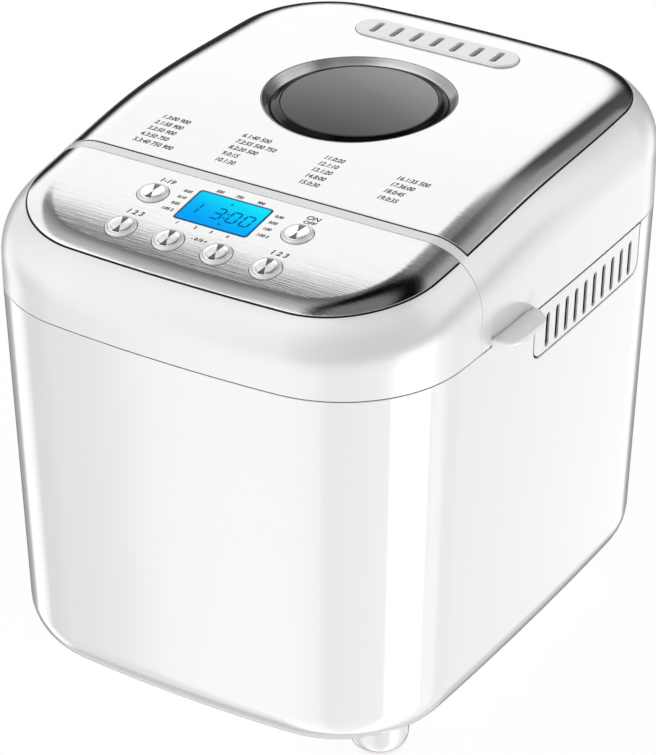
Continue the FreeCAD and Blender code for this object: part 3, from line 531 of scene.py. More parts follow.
def noise(nt, scale, detail=3.0, rough=0.55, coord="Object", seed=0.0):
    tc, mp, nz = nd(nt, "ShaderNodeTexCoord"), nd(nt, "ShaderNodeMapping"), nd(nt, "ShaderNodeTexNoise")
    mp.inputs["Scale"].default_value = scale if isinstance(scale, tuple) else (scale, scale, scale)
    mp.inputs["Location"].default_value = (seed, seed * 1.7, seed * 0.6)
    nz.inputs["Scale"].default_value = 1.0
    nz.inputs["Detail"].default_value = detail
    nz.inputs["Roughness"].default_value = rough
    nt.links.new(tc.outputs[coord], mp.inputs["Vector"])
    nt.links.new(mp.outputs["Vector"], nz.inputs["Vector"])
    return nz.outputs["Fac"]


def rings(nt, scale):
    tc, w = nd(nt, "ShaderNodeTexCoord"), nd(nt, "ShaderNodeTexWave", wave_type="RINGS", rings_direction="Z")
    w.inputs["Scale"].default_value = scale
    w.inputs["Distortion"].default_value = 0.6
    w.inputs["Detail"].default_value = 2.0
    nt.links.new(tc.outputs["Object"], w.inputs["Vector"])
    return w.outputs["Fac"]


def ramp(nt, fac, stops):
    r = nd(nt, "ShaderNodeValToRGB")
    el = r.color_ramp.elements
    while len(el) < len(stops):
        el.new(0.5)
    for e, (p, c) in zip(el, stops):
        e.position = p
        e.color = (*c, 1.0)
    nt.links.new(fac, r.inputs["Fac"])
    return r.outputs["Color"]


def rng(nt, fac, lo, hi, a=0.3, b=0.7):
    m = nd(nt, "ShaderNodeMapRange")
    for k, v in (("From Min", a), ("From Max", b), ("To Min", lo), ("To Max", hi)):
        m.inputs[k].default_value = v
    nt.links.new(fac, m.inputs["Value"])
    return m.outputs["Result"]


def bump(nt, bs, height, strength, dist):
    b = nd(nt, "ShaderNodeBump")
    b.inputs["Strength"].default_value = strength
    b.inputs["Distance"].default_value = dist
    nt.links.new(height, b.inputs["Height"])
    if bs.inputs["Normal"].links:
        nt.links.new(bs.inputs["Normal"].links[0].from_socket, b.inputs["Normal"])
    nt.links.new(b.outputs["Normal"], bs.inputs["Normal"])


def tone(c, k):
    return tuple(min(1.0, x * k) for x in c)


def plastic(name, col, rough, spec=0.5, coat=0.0, coat_rough=0.04, var=0.02, grain=0.0, grain_scale=1500.0):
    m, nt, b = new_mat(name)
    nt.links.new(ramp(nt, noise(nt, 35.0, 4.0), [(0.3, tone(col, 1 - var)), (0.7, tone(col, 1 + var))]), b.inputs["Base Color"])
    nt.links.new(rng(nt, noise(nt, 11.0, 5.0, seed=3.1), rough * 0.85, rough * 1.2), b.inputs["Roughness"])
    b.inputs["Specular IOR Level"].default_value = spec
    if coat:
        b.inputs["Coat Weight"].default_value = coat
        b.inputs["Coat Roughness"].default_value = coat_rough
    if grain:
        bump(nt, b, noise(nt, grain_scale, 2.0, seed=1.3), grain, 0.0002)
    return m


def metal(name, col, rough, var=0.08, scale=60.0, grain=0.0, stretch=None):
    m, nt, b = new_mat(name)
    s = stretch or (scale, scale, scale)
    nt.links.new(ramp(nt, noise(nt, s, 5.0), [(0.3, tone(col, 1 - var)), (0.7, tone(col, 1 + var))]), b.inputs["Base Color"])
    nt.links.new(rng(nt, noise(nt, tuple(x * 1.7 for x in s), 4.0, seed=2.2), rough * 0.8, rough * 1.25), b.inputs["Roughness"])
    b.inputs["Metallic"].default_value = 1.0
    if grain:
        bump(nt, b, noise(nt, tuple(x * 8 for x in s), 3.0, seed=5.0), grain, 0.0002)
    return m


def brushed(name, col, rough, aniso, radial=False, var=0.07, strength=0.05):
    """Steel with fine lines: along X, or round the local Z."""
    m, nt, b = new_mat(name)
    if radial:
        f1, f2 = rings(nt, 130.0), rings(nt, 47.0)
    else:
        f1, f2 = noise(nt, (26.0, 1600.0, 1600.0), 3.0, 0.6), noise(nt, (14.0, 700.0, 700.0), 5.0, 0.7, seed=4.0)
    nt.links.new(ramp(nt, f2, [(0.25, tone(col, 1 - var)), (0.5, col), (0.75, tone(col, 1 + var))]), b.inputs["Base Color"])
    nt.links.new(rng(nt, f1, rough * 0.86, rough * 1.16), b.inputs["Roughness"])
    b.inputs["Metallic"].default_value = 1.0
    b.inputs["Anisotropic"].default_value = aniso
    b.inputs["Anisotropic Rotation"].default_value = 0.25
    t = nd(nt, "ShaderNodeTangent", direction_type="RADIAL" if radial else "UV_MAP")
    if radial:
        t.axis = "Z"
    else:
        t.uv_map = "brush"
    nt.links.new(t.outputs["Tangent"], b.inputs["Tangent"])
    bump(nt, b, f1, strength, 0.0001)
    return m


WHITE = plastic("white_gloss", (0.82, 0.82, 0.82), 0.085, spec=1.0, var=0.005)
WHITE2 = plastic("white_satin", (0.82, 0.82, 0.82), 0.23, spec=1.0, var=0.005)
GAP = plastic("seam_shadow", (0.012, 0.012, 0.0125), 0.7, spec=0.1, var=0.2)
SHEET = brushed("brushed_sheet", (0.517, 0.515, 0.511), 0.10, 0.62, var=0.03, strength=0.36)
# painted shade: the steel sheets' rims and undersides are darker, drawing the dark line in the seams round them
EDGE = metal("sheet_edge_shade", (0.30, 0.30, 0.30), 0.30)
RING = brushed("brushed_ring", (0.23, 0.23, 0.23), 0.23, 0.5, radial=True, var=0.10, strength=0.08)
BUTTON = brushed("button_disc", (0.84, 0.84, 0.84), 0.32, 0.5, radial=True, var=0.05, strength=0.02)
# painted sheen: dark colour for the bow-tie wedges on the button caps
BUTTON_SHEEN_WEDGE = plastic("button_painted_sheen", (0.10, 0.10, 0.101), 0.30, var=0.15)
CHROME = plastic("button_rim", (0.74, 0.74, 0.74), 0.16, spec=1.0, var=0.02)
GROOVE = plastic("button_groove", (0.16, 0.16, 0.16), 0.4, var=0.1)
BEZEL = plastic("bezel_black", (0.004, 0.004, 0.0043), 0.10, spec=0.14, var=0.2)
GLOSS = plastic("black_gloss", (0.010, 0.010, 0.011), 0.10, spec=0.5, var=0.2)
DARK = plastic("black_plastic", (0.018, 0.018, 0.019), 0.38, var=0.2, grain=0.2)
GRILLE = plastic("vent_white", (0.80, 0.80, 0.80), 0.12, spec=0.9, var=0.008)
# painted shade: dark colour for the trays seen through the vent slots
SLOT_SHADE = plastic("slot_painted_shade", (0.022, 0.022, 0.023), 0.5, spec=0.2, var=0.1)
FOOTM = plastic("foot_plastic", (0.74, 0.74, 0.74), 0.12, spec=1.0, var=0.02)
RUBBER = plastic("rubber_grey", (0.22, 0.22, 0.22), 0.7, var=0.1, grain=0.3)
INK = plastic("print_ink", (0.035, 0.035, 0.036), 0.45, var=0.15)
INK2 = plastic("print_ink_grey", (0.10, 0.10, 0.10), 0.45, var=0.15)

# ------------------------------------------------------------------ lower body
def low(z):
    s = (ZP - z) / BODY_H
    p = (1 - s) * P0 + s * PF
    n2 = unit((1 - s) * N0 + s * NFt)
    n = np.concatenate([n2, -(n2 * (P0 - PF)).sum(1)[:, None] / BODY_H], 1)
    return np.concatenate([p, np.full((NCOL, 1), z)], 1), unit(n)


def slerp(u0, u1, f):
    om = np.arccos(np.clip((u0 * u1).sum(-1), -1, 1))[..., None]
    return (np.sin((1 - f) * om) * u0 + np.sin(f * om) * u1) / np.sin(om)


def body_piece():
    rows, nrm = [], []
    down = np.tile([0.0, 0.0, -1.0], (NCOL, 1))
    for t in (38.0, 30.0):
        p, _ = FOOTO.loop(t, NF, NC, NS)
        rows.append(np.concatenate([p, np.full((NCOL, 1), ZB - DROP)], 1)); nrm.append(down)
    pf, nf = low(ZB - DROP + 22.2)
    c = pf - BOTTOM_R * nf
    for k in range(0, 13):
        d = slerp(nf, down, 1 - k / 12.0)
        q = c + BOTTOM_R * d
        rows.append(q); nrm.append(d)
    zs = [ZB - DROP + 22.2 + (BODY_H + DROP - 62.2) * k / 9.0 for k in range(1, 10)] + [ZP - 40 + 10 * k for k in range(1, 5)]
    jz = len(rows) + 8
    for z in zs:
        p, n = low(z)
        rows.append(p); nrm.append(n)
    P, Nn = np.stack(rows, 1), np.stack(nrm, 1)
    nv = P.shape[1]
    y0, y1 = GRILLE_Y0 - 11.5, GRILLE_Y1 + 11.7
    cols = [i for i in range(NCOL) if P0[i, 0] > 0 and y0 < P0[i, 1] < y1]
    i0, i1 = cols[0], cols[-1]
    left = {(NCOL - i) % NCOL for i in range(i0, i1 + 1)}
    s = grid(P, Nn, True)
    faces = []
    for k, f in enumerate(s.f):
        i, j = k // (nv - 1), k % (nv - 1)
        i2 = (i + 1) % NCOL
        if j >= jz and ((i0 <= i < i1) or (i in left and i2 in left)):
            continue
        faces.append(f)
    s = Sheet(s.v, s.n, faces)
    # patch round the vent opening, in the (y, z) plane
    edge = []
    for i in range(i0, i1 + 1):
        edge.append((P[i, jz, 1], P[i, jz, 2]))
    for j in range(jz + 1, nv):
        edge.append((P[i1, j, 1], P[i1, j, 2]))
    top = [(P[i, nv - 1, 1], ZP) for i in range(i1 - 1, i0 - 1, -1)]
    edge += [t for t in top if t[0] > GRILLE_Y1 + 0.6]
    a, b_, zz, r = GRILLE_Y0, GRILLE_Y1, ZP - GRILLE_H, 7.0
    cut = [(b_, ZP)] + [(b_, ZP - k * (GRILLE_H - r) / 5) for k in range(1, 5)]
    cut += arc(b_ - r, zz + r, r, 0, -90, 8)
    cut += [(b_ - r - k * (b_ - a - 2 * r) / 24, zz) for k in range(1, 24)]
    cut += arc(a + r, zz + r, r, -90, -180, 8)
    cut += [(a, zz + r + k * (GRILLE_H - r) / 5) for k in range(1, 6)]
    edge += cut
    edge += [t for t in top if t[0] < GRILLE_Y0 - 0.6]
    for j in range(nv - 2, jz, -1):
        edge.append((P[i0, j, 1], P[i0, j, 2]))
    Q, F = fill(np.array(edge), [], 5.0)
    s2 = on_side(Q, F)
    whole = weld(join(s, s2, mirror(s2)))
    b = Body()
    solid(b, whole, 2.8, rho=0.3, seg=3)
    # hinge ears at the back
    ear = [(150.0, ZP - 27), (151.6, ZP - 28), (HINGE_Y + HINGE_R * math.cos(math.radians(-32)), ZP + HINGE_R * math.sin(math.radians(-32)))]
    ear += [(HINGE_Y + HINGE_R * math.cos(math.radians(t)), ZP + HINGE_R * math.sin(math.radians(t))) for t in range(-24, 205, 12)]
    ear += [(150.4, ZP - 7)]
    for sx in (1, -1):
        for x0, x1 in ((7.4, 12.8), (-12.8, -7.4)):
            prism_x(b, ear, sx * HINGE_X + x0, sx * HINGE_X + x1, 0.5)
    return b


def on_side(Q, F):
    """Points (y, z) of the right side wall, on its surface."""
    sel = [i for i in range(NCOL) if P0[i, 0] > 60]
    V, Nn = [], []
    for y, z in Q:
        s = (ZP - z) / BODY_H
        p = (1 - s) * P0[sel] + s * PF[sel]
        n2 = unit((1 - s) * N0[sel] + s * NFt[sel])
        nz = -(n2 * (P0[sel] - PF[sel])).sum(1) / BODY_H
        V.append((np.interp(y, p[:, 1], p[:, 0]), y, z))
        Nn.append((np.interp(y, p[:, 1], n2[:, 0]), np.interp(y, p[:, 1], n2[:, 1]), np.interp(y, p[:, 1], nz)))
    return Sheet(np.array(V), unit(np.array(Nn)), F)


def prism_x(b, prof, x0, x1, rho, mat=0):
    """A profile in (y, z), counter-clockwise seen from +X, run along X with both ends rounded."""
    prof = np.array(prof, float)
    Q, F = fill(prof, [], 4.0)
    xm = (x0 + x1) / 2
    v = np.concatenate([np.full((len(Q), 1), x1), Q], 1)
    s = Sheet(v, np.tile([1.0, 0, 0], (len(Q), 1)), F)
    solid(b, s, x1 - xm, rho, 3, mat)
    v = np.concatenate([np.full((len(Q), 1), x0), Q], 1)
    s = Sheet(v, np.tile([-1.0, 0, 0], (len(Q), 1)), [tuple(reversed(f)) for f in F])
    solid(b, s, xm - x0, rho, 3, mat)


make("body_shell_skin", body_piece(), WHITE, "body", ["body_shell"])


def grille_piece():
    def edge(e):
        a, b_, zz, r = GRILLE_Y0 + e, GRILLE_Y1 - e, ZP - GRILLE_H + e, 7.0 - e
        L = arc(a + r, zz + r, r, 180, 270, 8) + arc(b_ - r, zz + r, r, 270, 360, 8) + [(b_, ZP - 0.05 - e / 3), (a, ZP - 0.05 - e / 3)]
        return dense(np.array(L), 3.0)

    holes = []
    for k in range(SLOTS):
        y = SLOT_Y0 + SLOT_PITCH * k
        holes.append(dense(rrect(y, ZP - 15.75, 3.7, 18.7, 1.8, 6), 1.4))
    Q, F = fill(edge(1.15), holes, 2.2)
    s = on_side(Q, F)
    b = Body()
    solid(b, s, 1.1, 0.3, 3, 0, 0, 0)
    # dark sheet under the insert, in the groove round it and the lower part of the slots: painted shade
    Q, F = fill(edge(0.12), holes, 2.2)
    t = on_side(Q, F)
    t = Sheet(t.v - t.n * 1.1, t.n, t.f)
    solid(b, t, 1.2, 0.05, 1, 2, 2, 2)
    # dark tray that closes the slots from behind: painted shade seen through the slots
    tray = dense(rrect((SLOT_Y0 + SLOT_Y0 + SLOT_PITCH * (SLOTS - 1)) / 2, ZP - 15.75, SLOT_PITCH * (SLOTS - 1) + 9.0, 22.5, 2.0, 4), 4.0)
    Q, F = fill(tray, [], 5.0)
    t = on_side(Q, F)
    t = Sheet(t.v - t.n * 6.0, t.n, t.f)
    solid(b, t, 0.8, 0.1, 1, 1, 1, 1)
    return b, s


gb, _ = grille_piece()
make("vent_grille_right_skin", gb, [GRILLE, SLOT_SHADE, GAP], "body", ["vent_grille_right"])
gl = Body()
gl.v = [(-x, y, z) for x, y, z in gb.v]
k = 0
for f, m in zip(gb.f, gb.m):
    nn = gb.n[k:k + len(f)]
    k += len(f)
    gl.f.append(tuple(reversed(f))); gl.m.append(m)
    gl.n += [(-x, y, z) for x, y, z in reversed(nn)]
make("vent_grille_left_skin", gl, [GRILLE, SLOT_SHADE, GAP], "body", ["vent_grille_left"])

# dark strip inside the parting gap along the rim: painted shade, seen as the parting line
b = Body()
sec = []
for t in (0.4, 2.2):
    sec.append(MAIN.loop(t, NF, NC, NS)[0])
up_ = np.where(P0[:, 1] < GAP_Y, 0.46, 0.56)
ring4 = [(sec[0], -0.6 + 0 * up_), (sec[0], up_), (sec[1], up_), (sec[1], -0.6 + 0 * up_)]
V = np.concatenate([np.concatenate([q, (ZP + z)[:, None]], 1) for q, z in ring4])
F, Nn = [], []
for k in range(4):
    k2 = (k + 1) % 4
    for i in range(NCOL):
        j = (i + 1) % NCOL
        F.append((k * NCOL + i, k * NCOL + j, k2 * NCOL + j, k2 * NCOL + i))
        n3 = [(N0[i, 0], N0[i, 1], 0), (0, 0, 1), (-N0[i, 0], -N0[i, 1], 0), (0, 0, -1)][k]
        Nn.append([n3] * 4)
b.add(V, F, Nn)
make("rim_seam_shade", b, GAP, "body")

# ------------------------------------------------------------------ upper shell: housing, lid, steel sheets
C2 = P0 - N0 * SHOULDER
yt = C2[:, 1].copy()
for _ in range(60):
    sl = TS(yt)
    yt = yt - (yt + SHOULDER * sl / np.sqrt(1 + sl * sl) - C2[:, 1]) * 0.8
sl = TS(yt)
kk = 1 / np.sqrt(1 + sl * sl)
U1 = np.stack([np.zeros(NCOL), -sl * kk, kk], -1)
U0 = np.concatenate([N0, np.zeros((NCOL, 1))], 1)
CC = np.stack([C2[:, 0], C2[:, 1], T(yt) - SHOULDER * kk], -1)


def sh(phi):
    d = slerp(U0, U1, np.broadcast_to(np.asarray(phi, float), (NCOL,))[:, None])
    return CC + SHOULDER * d, d


lo_, hi_ = np.zeros(NCOL), np.ones(NCOL)
for _ in range(44):
    mid = (lo_ + hi_) / 2
    q, _d = sh(mid)
    ins = PLATEO.depth(q[:, 0], q[:, 1]) > 0
    hi_ = np.where(ins, mid, hi_)
    lo_ = np.where(ins, lo_, mid)
PHI = (lo_ + hi_) / 2


def white_rows(z_low, nw, ns):
    rows, nrm = [], []
    for k in range(nw):
        z = z_low + (CC[:, 2] - z_low) * k / nw
        rows.append(np.concatenate([P0, z[:, None]], 1)); nrm.append(U0)
    for k in range(ns + 1):
        p, d = sh(PHI * k / ns)
        rows.append(p); nrm.append(d)
    return np.stack(rows, 1), np.stack(nrm, 1)


def steel_rows(ns, gap=0.0):
    rows, nrm = [], []
    p0 = PHI + gap / (SHOULDER * np.arccos((U0 * U1).sum(1)))
    for k in range(ns + 1):
        p, d = sh(p0 + (1 - p0) * k / ns)
        rows.append(p); nrm.append(d)
    return np.stack(rows, 1), np.stack(nrm, 1)


def ell(x, y, r, n):
    c = math.cos(math.atan(float(TS(y))))
    L = circle(0, 0, r, n)
    return np.stack([x + L[:, 0], y + L[:, 1] * c], -1)


def top_sheet():
    outer, _ = sh(1.0)
    holes = [ell(WIN_X, WIN_Y, RING_R + 0.05, 144)]
    holes.append(dense(rrect(VENT_X, VENT_Y, VENT_L, VENT_W, VENT_W / 2 - 0.02, 14), 3.0))
    for x, y in BUTTONS.values():
        holes.append(ell(x, y, BUTTON_R + 0.16, 72))
    c = math.cos(math.atan(float(TS(LCD_Y))))
    L = dense(rrect(0, 0, LCD_W + 0.3, LCD_D + 0.3, 1.8, 5), 2.5)
    holes.append(np.stack([LCD_X + L[:, 0], LCD_Y + L[:, 1] * c], -1))
    Q, F = fill(outer[:, :2], holes, 5.0)
    V = np.concatenate([Q, T(Q[:, 1])[:, None]], 1)
    s = Sheet(V, top_normal(Q[:, 1]), F)
    # the outer loop keeps the exact points of the shoulder
    kd = KDTree(NCOL)
    for i, p in enumerate(outer):
        kd.insert((p[0], p[1], 0), i)
    kd.balance()
    for i in range(len(V)):
        co, j, d = kd.find((V[i, 0], V[i, 1], 0))
        if d < 1e-3:
            s.v[i] = outer[j]
    return s


SP, SN = steel_rows(10)
SP2, SN2 = steel_rows(10, 1.0)
TOP = top_sheet()
STEEL = weld(join(grid(SP, SN, True), TOP))
PLATE = weld(join(grid(SP2, SN2, True), TOP))


def groove_shade(name, body, y0, y1, keep):
    """Dark sheet in the narrow groove round a steel sheet: painted shade in the groove."""
    om = SHOULDER * np.arccos((U0 * U1).sum(1))
    rows, nrm = [], []
    for d in (-0.5, 0.3, 1.2, 2.1):
        q, m = sh(PHI + d / om)
        rows.append(q - m * 0.4); nrm.append(m)
    r = clip(grid(np.stack(rows, 1), np.stack(nrm, 1), True), 1, y0, keep)
    g = Body()
    solid(g, r, 0.4, 0.02, 1)
    if y1 is not None:
        t = clip(clip(STEEL, 1, y1 - 1.0, +1), 1, y1 + 1.8, -1)
        t = Sheet(t.v - t.n * 0.4, t.n, t.f)
        solid(g, t, 0.4, 0.02, 1)
    make(name, g, GAP, body)


groove_shade("control_panel_groove_shade", "body", -72.6, None, -1)
groove_shade("lid_plate_groove_shade", "lid", -66.4, -66.0, +1)
brush_uv = lambda v: (v[0] * 0.01, v[1] * 0.01)



def end_wall(b, P, y0, y1, zb, d, dtop):
    """An upright wall between y0 and y1 that closes the end of a cover, let d into its sides and dtop under its top."""
    ym = (y0 + y1) / 2
    half = []
    for j in range(P.shape[1]):
        c = P[:, j]
        for a, e in zip(c, np.roll(c, -1, 0)):
            if a[0] > 50 and abs(a[1] - e[1]) > 1e-9 and (a[1] - ym) * (e[1] - ym) <= 0:
                half.append(a + (e - a) * (ym - a[1]) / (e[1] - a[1]))
                break
    half = sorted((float(q[2]), float(q[0])) for q in half)
    half = [(x, z) for z, x in half if z > zb + 0.3]
    xe, ze = half[-1]
    sel = STEEL.v[np.abs(STEEL.v[:, 1] - ym) < 5.0]
    sx_ = np.abs(sel[:, 0])
    k = np.argsort(sx_)
    sx_, sz = sx_[k], np.array([q[2] - float(T(q[1])) + float(T(ym)) for q in sel])[k]
    xs = np.arange(xe - 1.5, -0.1, -3.0)
    top = [(float(x), float(np.median(sz[np.abs(sx_ - x) < 2.5])) if np.any(np.abs(sx_ - x) < 2.5) else float(np.interp(x, sx_, sz))) for x in xs]
    q = np.array([(half[0][0], zb)] + half + top + [(0.0, float(T(ym)))])
    t = unit(np.gradient(q, axis=0))
    n = np.stack([t[:, 1], -t[:, 0]], 1)
    steep = np.abs(n[:, :1])
    q = q - n * (d * steep + dtop * (1 - steep))
    q[0, 1] = zb
    q = q[q[:, 0] > 0.5]
    ring_ = [tuple(v) for v in q] + [(0.0, float(q[-1, 1]))] + [(-v[0], v[1]) for v in q[::-1]]
    w = Body()
    prism_x(w, ring_, y0, y1, 0.15)
    turn = lambda v: (-v[1], v[0], v[2])
    k = len(b.v)
    b.v += [turn(v) for v in w.v]
    b.f += [tuple(i + k for i in f) for f in w.f]
    b.n += [turn(v) for v in w.n]
    b.m += list(w.m)


HP, HN = white_rows(ZP + 0.5, 5, 14)
house = clip(weld(grid(HP, HN, True)), 1, -71.8, -1, room=0.7)
b = Body()
solid(b, house, 2.6, 0.22, 3)
end_wall(b, HP, -74.7, -72.2, ZP + 0.7, 1.2, 1.6)
make("control_housing_skin", b, WHITE2, "body", ["control_housing"])
fascia = clip(PLATE, 1, -71.8, -1, room=0.6)
b = Body()
solid(b, fascia, 0.7, 0.22, 2, 0, 1, 1)
make("control_panel_skin", b, [SHEET, EDGE], "body", ["control_panel"], uv=brush_uv)


# ------------------------------------------------------------------ lid
SCOOP_Z, SCOOP_H, SCOOP_D = ZP + 1.6, 17.0, 2.7


def ease(v, a, b):
    t = np.clip((v - a) / (b - a), 0, 1)
    return t * t * (3 - 2 * t)


def scoop_depth(y):
    return SCOOP_D * ease(y, -65.0, -58.0) * (1 - ease(y, -29.5, -22.5))


def scooped(P, Nn):
    """Finger hollows pressed into both side walls over the tabs."""
    P = P.copy()
    y, z = P[..., 1], P[..., 2]
    u = np.clip((z - SCOOP_Z) / SCOOP_H, 0, 1)
    d = scoop_depth(y) * (1 - u) ** 2 * (np.abs(P[..., 0]) > 100)
    moved = d > 1e-4
    P[..., 0] -= np.sign(P[..., 0]) * d
    di = np.roll(P, -1, 0) - np.roll(P, 1, 0)
    dj = np.gradient(P, axis=1)
    num = unit(np.cross(di, dj))
    near = moved.copy()
    for ax in (0, 1):
        near |= np.roll(moved, 1, ax) | np.roll(moved, -1, ax)
    Nn = np.where(near[..., None], num, Nn)
    return P, Nn


LP, LN = white_rows(ZP + 0.6, 12, 18)
LP, LN = scooped(LP, LN)
lid = clip(weld(join(grid(LP, LN, True), STEEL)), 1, -71.5, +1, room=0.7)
lid = clip(lid, 1, -66.0, -1, room=0.7, only=1)
b = Body()
solid(b, lid, 2.8, 0.22, 3)
end_wall(b, LP, -71.1, -68.5, ZP + 0.9, 1.3, 1.3)


WALL = sorted((y, x) for x, y in P0 if x > 100)
WALL_Y, WALL_X = [w[0] for w in WALL], [w[1] for w in WALL]


def tab(b, sx):
    ys = -43.5 + 19.8 * np.sin(np.linspace(-math.pi / 2, math.pi / 2, 73))
    P = []
    for y in ys:
        s = (y + 43.5) / 19.8
        w = max(0.0, 1 - abs(s) ** 4.5) ** 0.62
        xo = 123.0 + 13.6 * w
        z0, z1, r = ZP + LID_GAP, ZP + 4.3, 1.7
        sec = [(116.0, z0), (xo - r, z0)]
        sec += [(xo - r + r * math.sin(math.radians(t)), z0 + r - r * math.cos(math.radians(t))) for t in range(15, 91, 15)]
        sec += [(xo - r + r * math.cos(math.radians(t)), z1 - r + r * math.sin(math.radians(t))) for t in range(15, 91, 15)]
        xw = float(np.interp(y, WALL_Y, WALL_X) - scoop_depth(np.array(y)))
        d = max(xo - r - xw - 0.5, 0.2)
        sec += [(xo - r - d * u, z1 - 2.5 * w * u ** 1.3) for u in (0.1, 0.2, 0.3, 0.42, 0.54, 0.66, 0.78, 0.9, 1.0)]
        sec += [(xo - r - d - 0.1, z1 - 2.5 * w - 0.7), (xw - 0.3, z1 - 2.5 * w - 0.7), (116.0, z1 - 2.5 * w - 0.7)]
        P.append([(sx * x, y, z) for x, z in sec])
    P = np.array(P)
    di = np.gradient(P, axis=0)
    dj = np.gradient(P, axis=1)
    Nn = unit(np.cross(di, dj)) * (1 if sx > 0 else -1)
    g = grid(P, Nn)
    if sx < 0:
        g = Sheet(g.v, g.n, [tuple(reversed(f)) for f in g.f])
    b.sheet(g)
    m = P.shape[1]
    n0 = len(P)
    for i, d in ((0, -1.0), (n0 - 1, 1.0)):
        f = tuple(range(m))
        if (d > 0) == (sx > 0):
            f = tuple(reversed(f))
        b.add(P[i], [f], [[(0, d, 0)] * m])
    bk = [(tuple(P[i][k2]) for k2 in (0, m - 1)) for i in range(n0)]
    V = [q for pr in bk for q in pr]
    F = []
    for i in range(n0 - 1):
        f = (2 * i, 2 * i + 1, 2 * i + 3, 2 * i + 2)
        F.append(f if sx > 0 else tuple(reversed(f)))
    b.add(V, F, [[(-sx, 0, 0)] * 4 for _ in F])


tab(b, 1)
tab(b, -1)
a1 = -math.degrees(math.asin(1.0 / HINGE_R))
lug = [(150.0, ZP + 1.0), (HINGE_Y - math.sqrt(HINGE_R ** 2 - 1.0), ZP + 1.0)]
lug += [(HINGE_Y + HINGE_R * math.cos(math.radians(t)), ZP + HINGE_R * math.sin(math.radians(t))) for t in range(184, 450, 12)]
lug += [(HINGE_Y, ZP + HINGE_R), (150.0, ZP + HINGE_R)]
for sx in (1, -1):
    prism_x(b, lug, sx * HINGE_X - 7.0, sx * HINGE_X + 7.0, 0.5)
make("lid_shell_skin", b, WHITE2, "lid", ["lid_shell"])
plate = clip(PLATE, 1, -65.0, +1, room=0.6)
b = Body()
solid(b, plate, 0.7, 0.22, 2, 0, 1, 1)
make("lid_plate_skin", b, [SHEET, EDGE], "lid", ["lid_plate"], uv=brush_uv)

# ------------------------------------------------------------------ window, turned pieces
w_t = math.atan(float(T(WIN_Y + RING_R) - T(WIN_Y - RING_R)) / (2 * RING_R))
W_PL = Matrix.Rotation(w_t, 4, "X")
W_PL.translation = Vector((WIN_X, WIN_Y, float(T(WIN_Y + RING_R) + T(WIN_Y - RING_R)) / 2))
b = Body()
R = RING_R - 0.05
prof = [(44.3, -6.4), (44.3, -3.0), (44.5, -2.75), (46.2, -1.6), (R - 0.75, -0.1)]
prof += arc(R - 0.4, -0.32, 0.4, 120, 10, 5) + [(R, -0.6), (R, -1.5), (48.0, -1.8), (48.0, -6.4), (44.3, -6.4)]
lathe(b, prof[::-1], 160, 0, 35)


def follow(b):
    """The rim of the ring follows the curved sheet, its inner edge lies in one plane."""
    c, s_ = math.cos(w_t), math.sin(w_t)

    def lift(y):
        return float(T(WIN_Y + y * c)) - W_PL.translation.z - y * s_

    out, grad = [], []
    for x, y, z in b.v:
        r = math.hypot(x, y)
        k = min(max((r - 44.4) / (R - 44.4), 0.0), 1.0)
        dk = 1 / (R - 44.4) if 44.4 < r < R else 0.0
        h = lift(y)
        out.append((x, y, z + h * k))
        grad.append((h * dk * x / r, h * dk * y / r + k * (lift(y + 0.05) - lift(y - 0.05)) / 0.1))
    nn, i = [], 0
    for f in b.f:
        for v in f:
            n = b.n[i]
            q = unit(np.array([n[0] - n[2] * grad[v][0], n[1] - n[2] * grad[v][1], n[2]]))
            nn.append(tuple(float(t) for t in q))
            i += 1
    b.v, b.n = out, nn


follow(b)
make("window_ring_skin", b, RING, "lid", ["window_ring"], local=W_PL)
b = Body()
prof = [(36.5, -6.5), (36.5, -4.7), (39.3, -4.7), (39.35, -1.0)] + arc(39.7, -1.0, 0.33, 176, 68, 5) + [(41.4, -1.36), (43.4, -2.33)] + arc(43.55, -2.75, 0.45, 60, 4, 4) + [(44.0, -6.5), (36.5, -6.5)]
lathe(b, prof[::-1], 144, 0, 35)
make("window_bezel_skin", b, BEZEL, "lid", ["window_bezel"], local=W_PL)
GLASS, nt, bs = new_mat("smoked_glass_painted_reflection")
tc_, mp_, pane_reflection_grad = nd(nt, "ShaderNodeTexCoord"), nd(nt, "ShaderNodeMapping", vector_type="TEXTURE"), nd(nt, "ShaderNodeTexGradient", gradient_type="LINEAR")
mp_.inputs["Rotation"].default_value = (0, 0, math.radians(65))
mp_.inputs["Location"].default_value = (-0.0165, -0.0353, 0)
mp_.inputs["Scale"].default_value = (0.078, 0.078, 0.078)
nt.links.new(tc_.outputs["Object"], mp_.inputs["Vector"])
nt.links.new(mp_.outputs["Vector"], pane_reflection_grad.inputs["Vector"])
# painted reflection: the smoke tint is dense at the front and grades to grey at the back, standing in for the
# reflection across the pane
nt.links.new(ramp(nt, pane_reflection_grad.outputs["Fac"], [(0.0, (0.006, 0.006, 0.006)), (0.13, (0.018, 0.018, 0.018)), (0.35, (0.056, 0.056, 0.057)), (0.56, (0.092, 0.092, 0.093)), (0.7, (0.14, 0.14, 0.142)), (0.86, (0.19, 0.19, 0.192)), (1.0, (0.22, 0.22, 0.223))]), bs.inputs["Base Color"])
nt.links.new(rng(nt, noise(nt, 25.0, 4.0, seed=2.0), 0.21, 0.24), bs.inputs["Roughness"])
bs.inputs["IOR"].default_value = 1.32
b = Body()
lathe(b, [(0, -4.5), (39.2, -4.5), (39.2, -1.1)] + arc(38.8, -1.1, 0.4, 10, 80, 4) + [(r_, -0.68 + 2.1 * (1 - (r_ / 38.6) ** 2)) for r_ in (38.4, 36, 33, 30, 27, 24, 21, 18, 15, 12, 9, 6, 3, 0)], 120, 0, 35)
make("window_glass_skin", b, GLASS, "lid", ["window_glass"], local=W_PL)


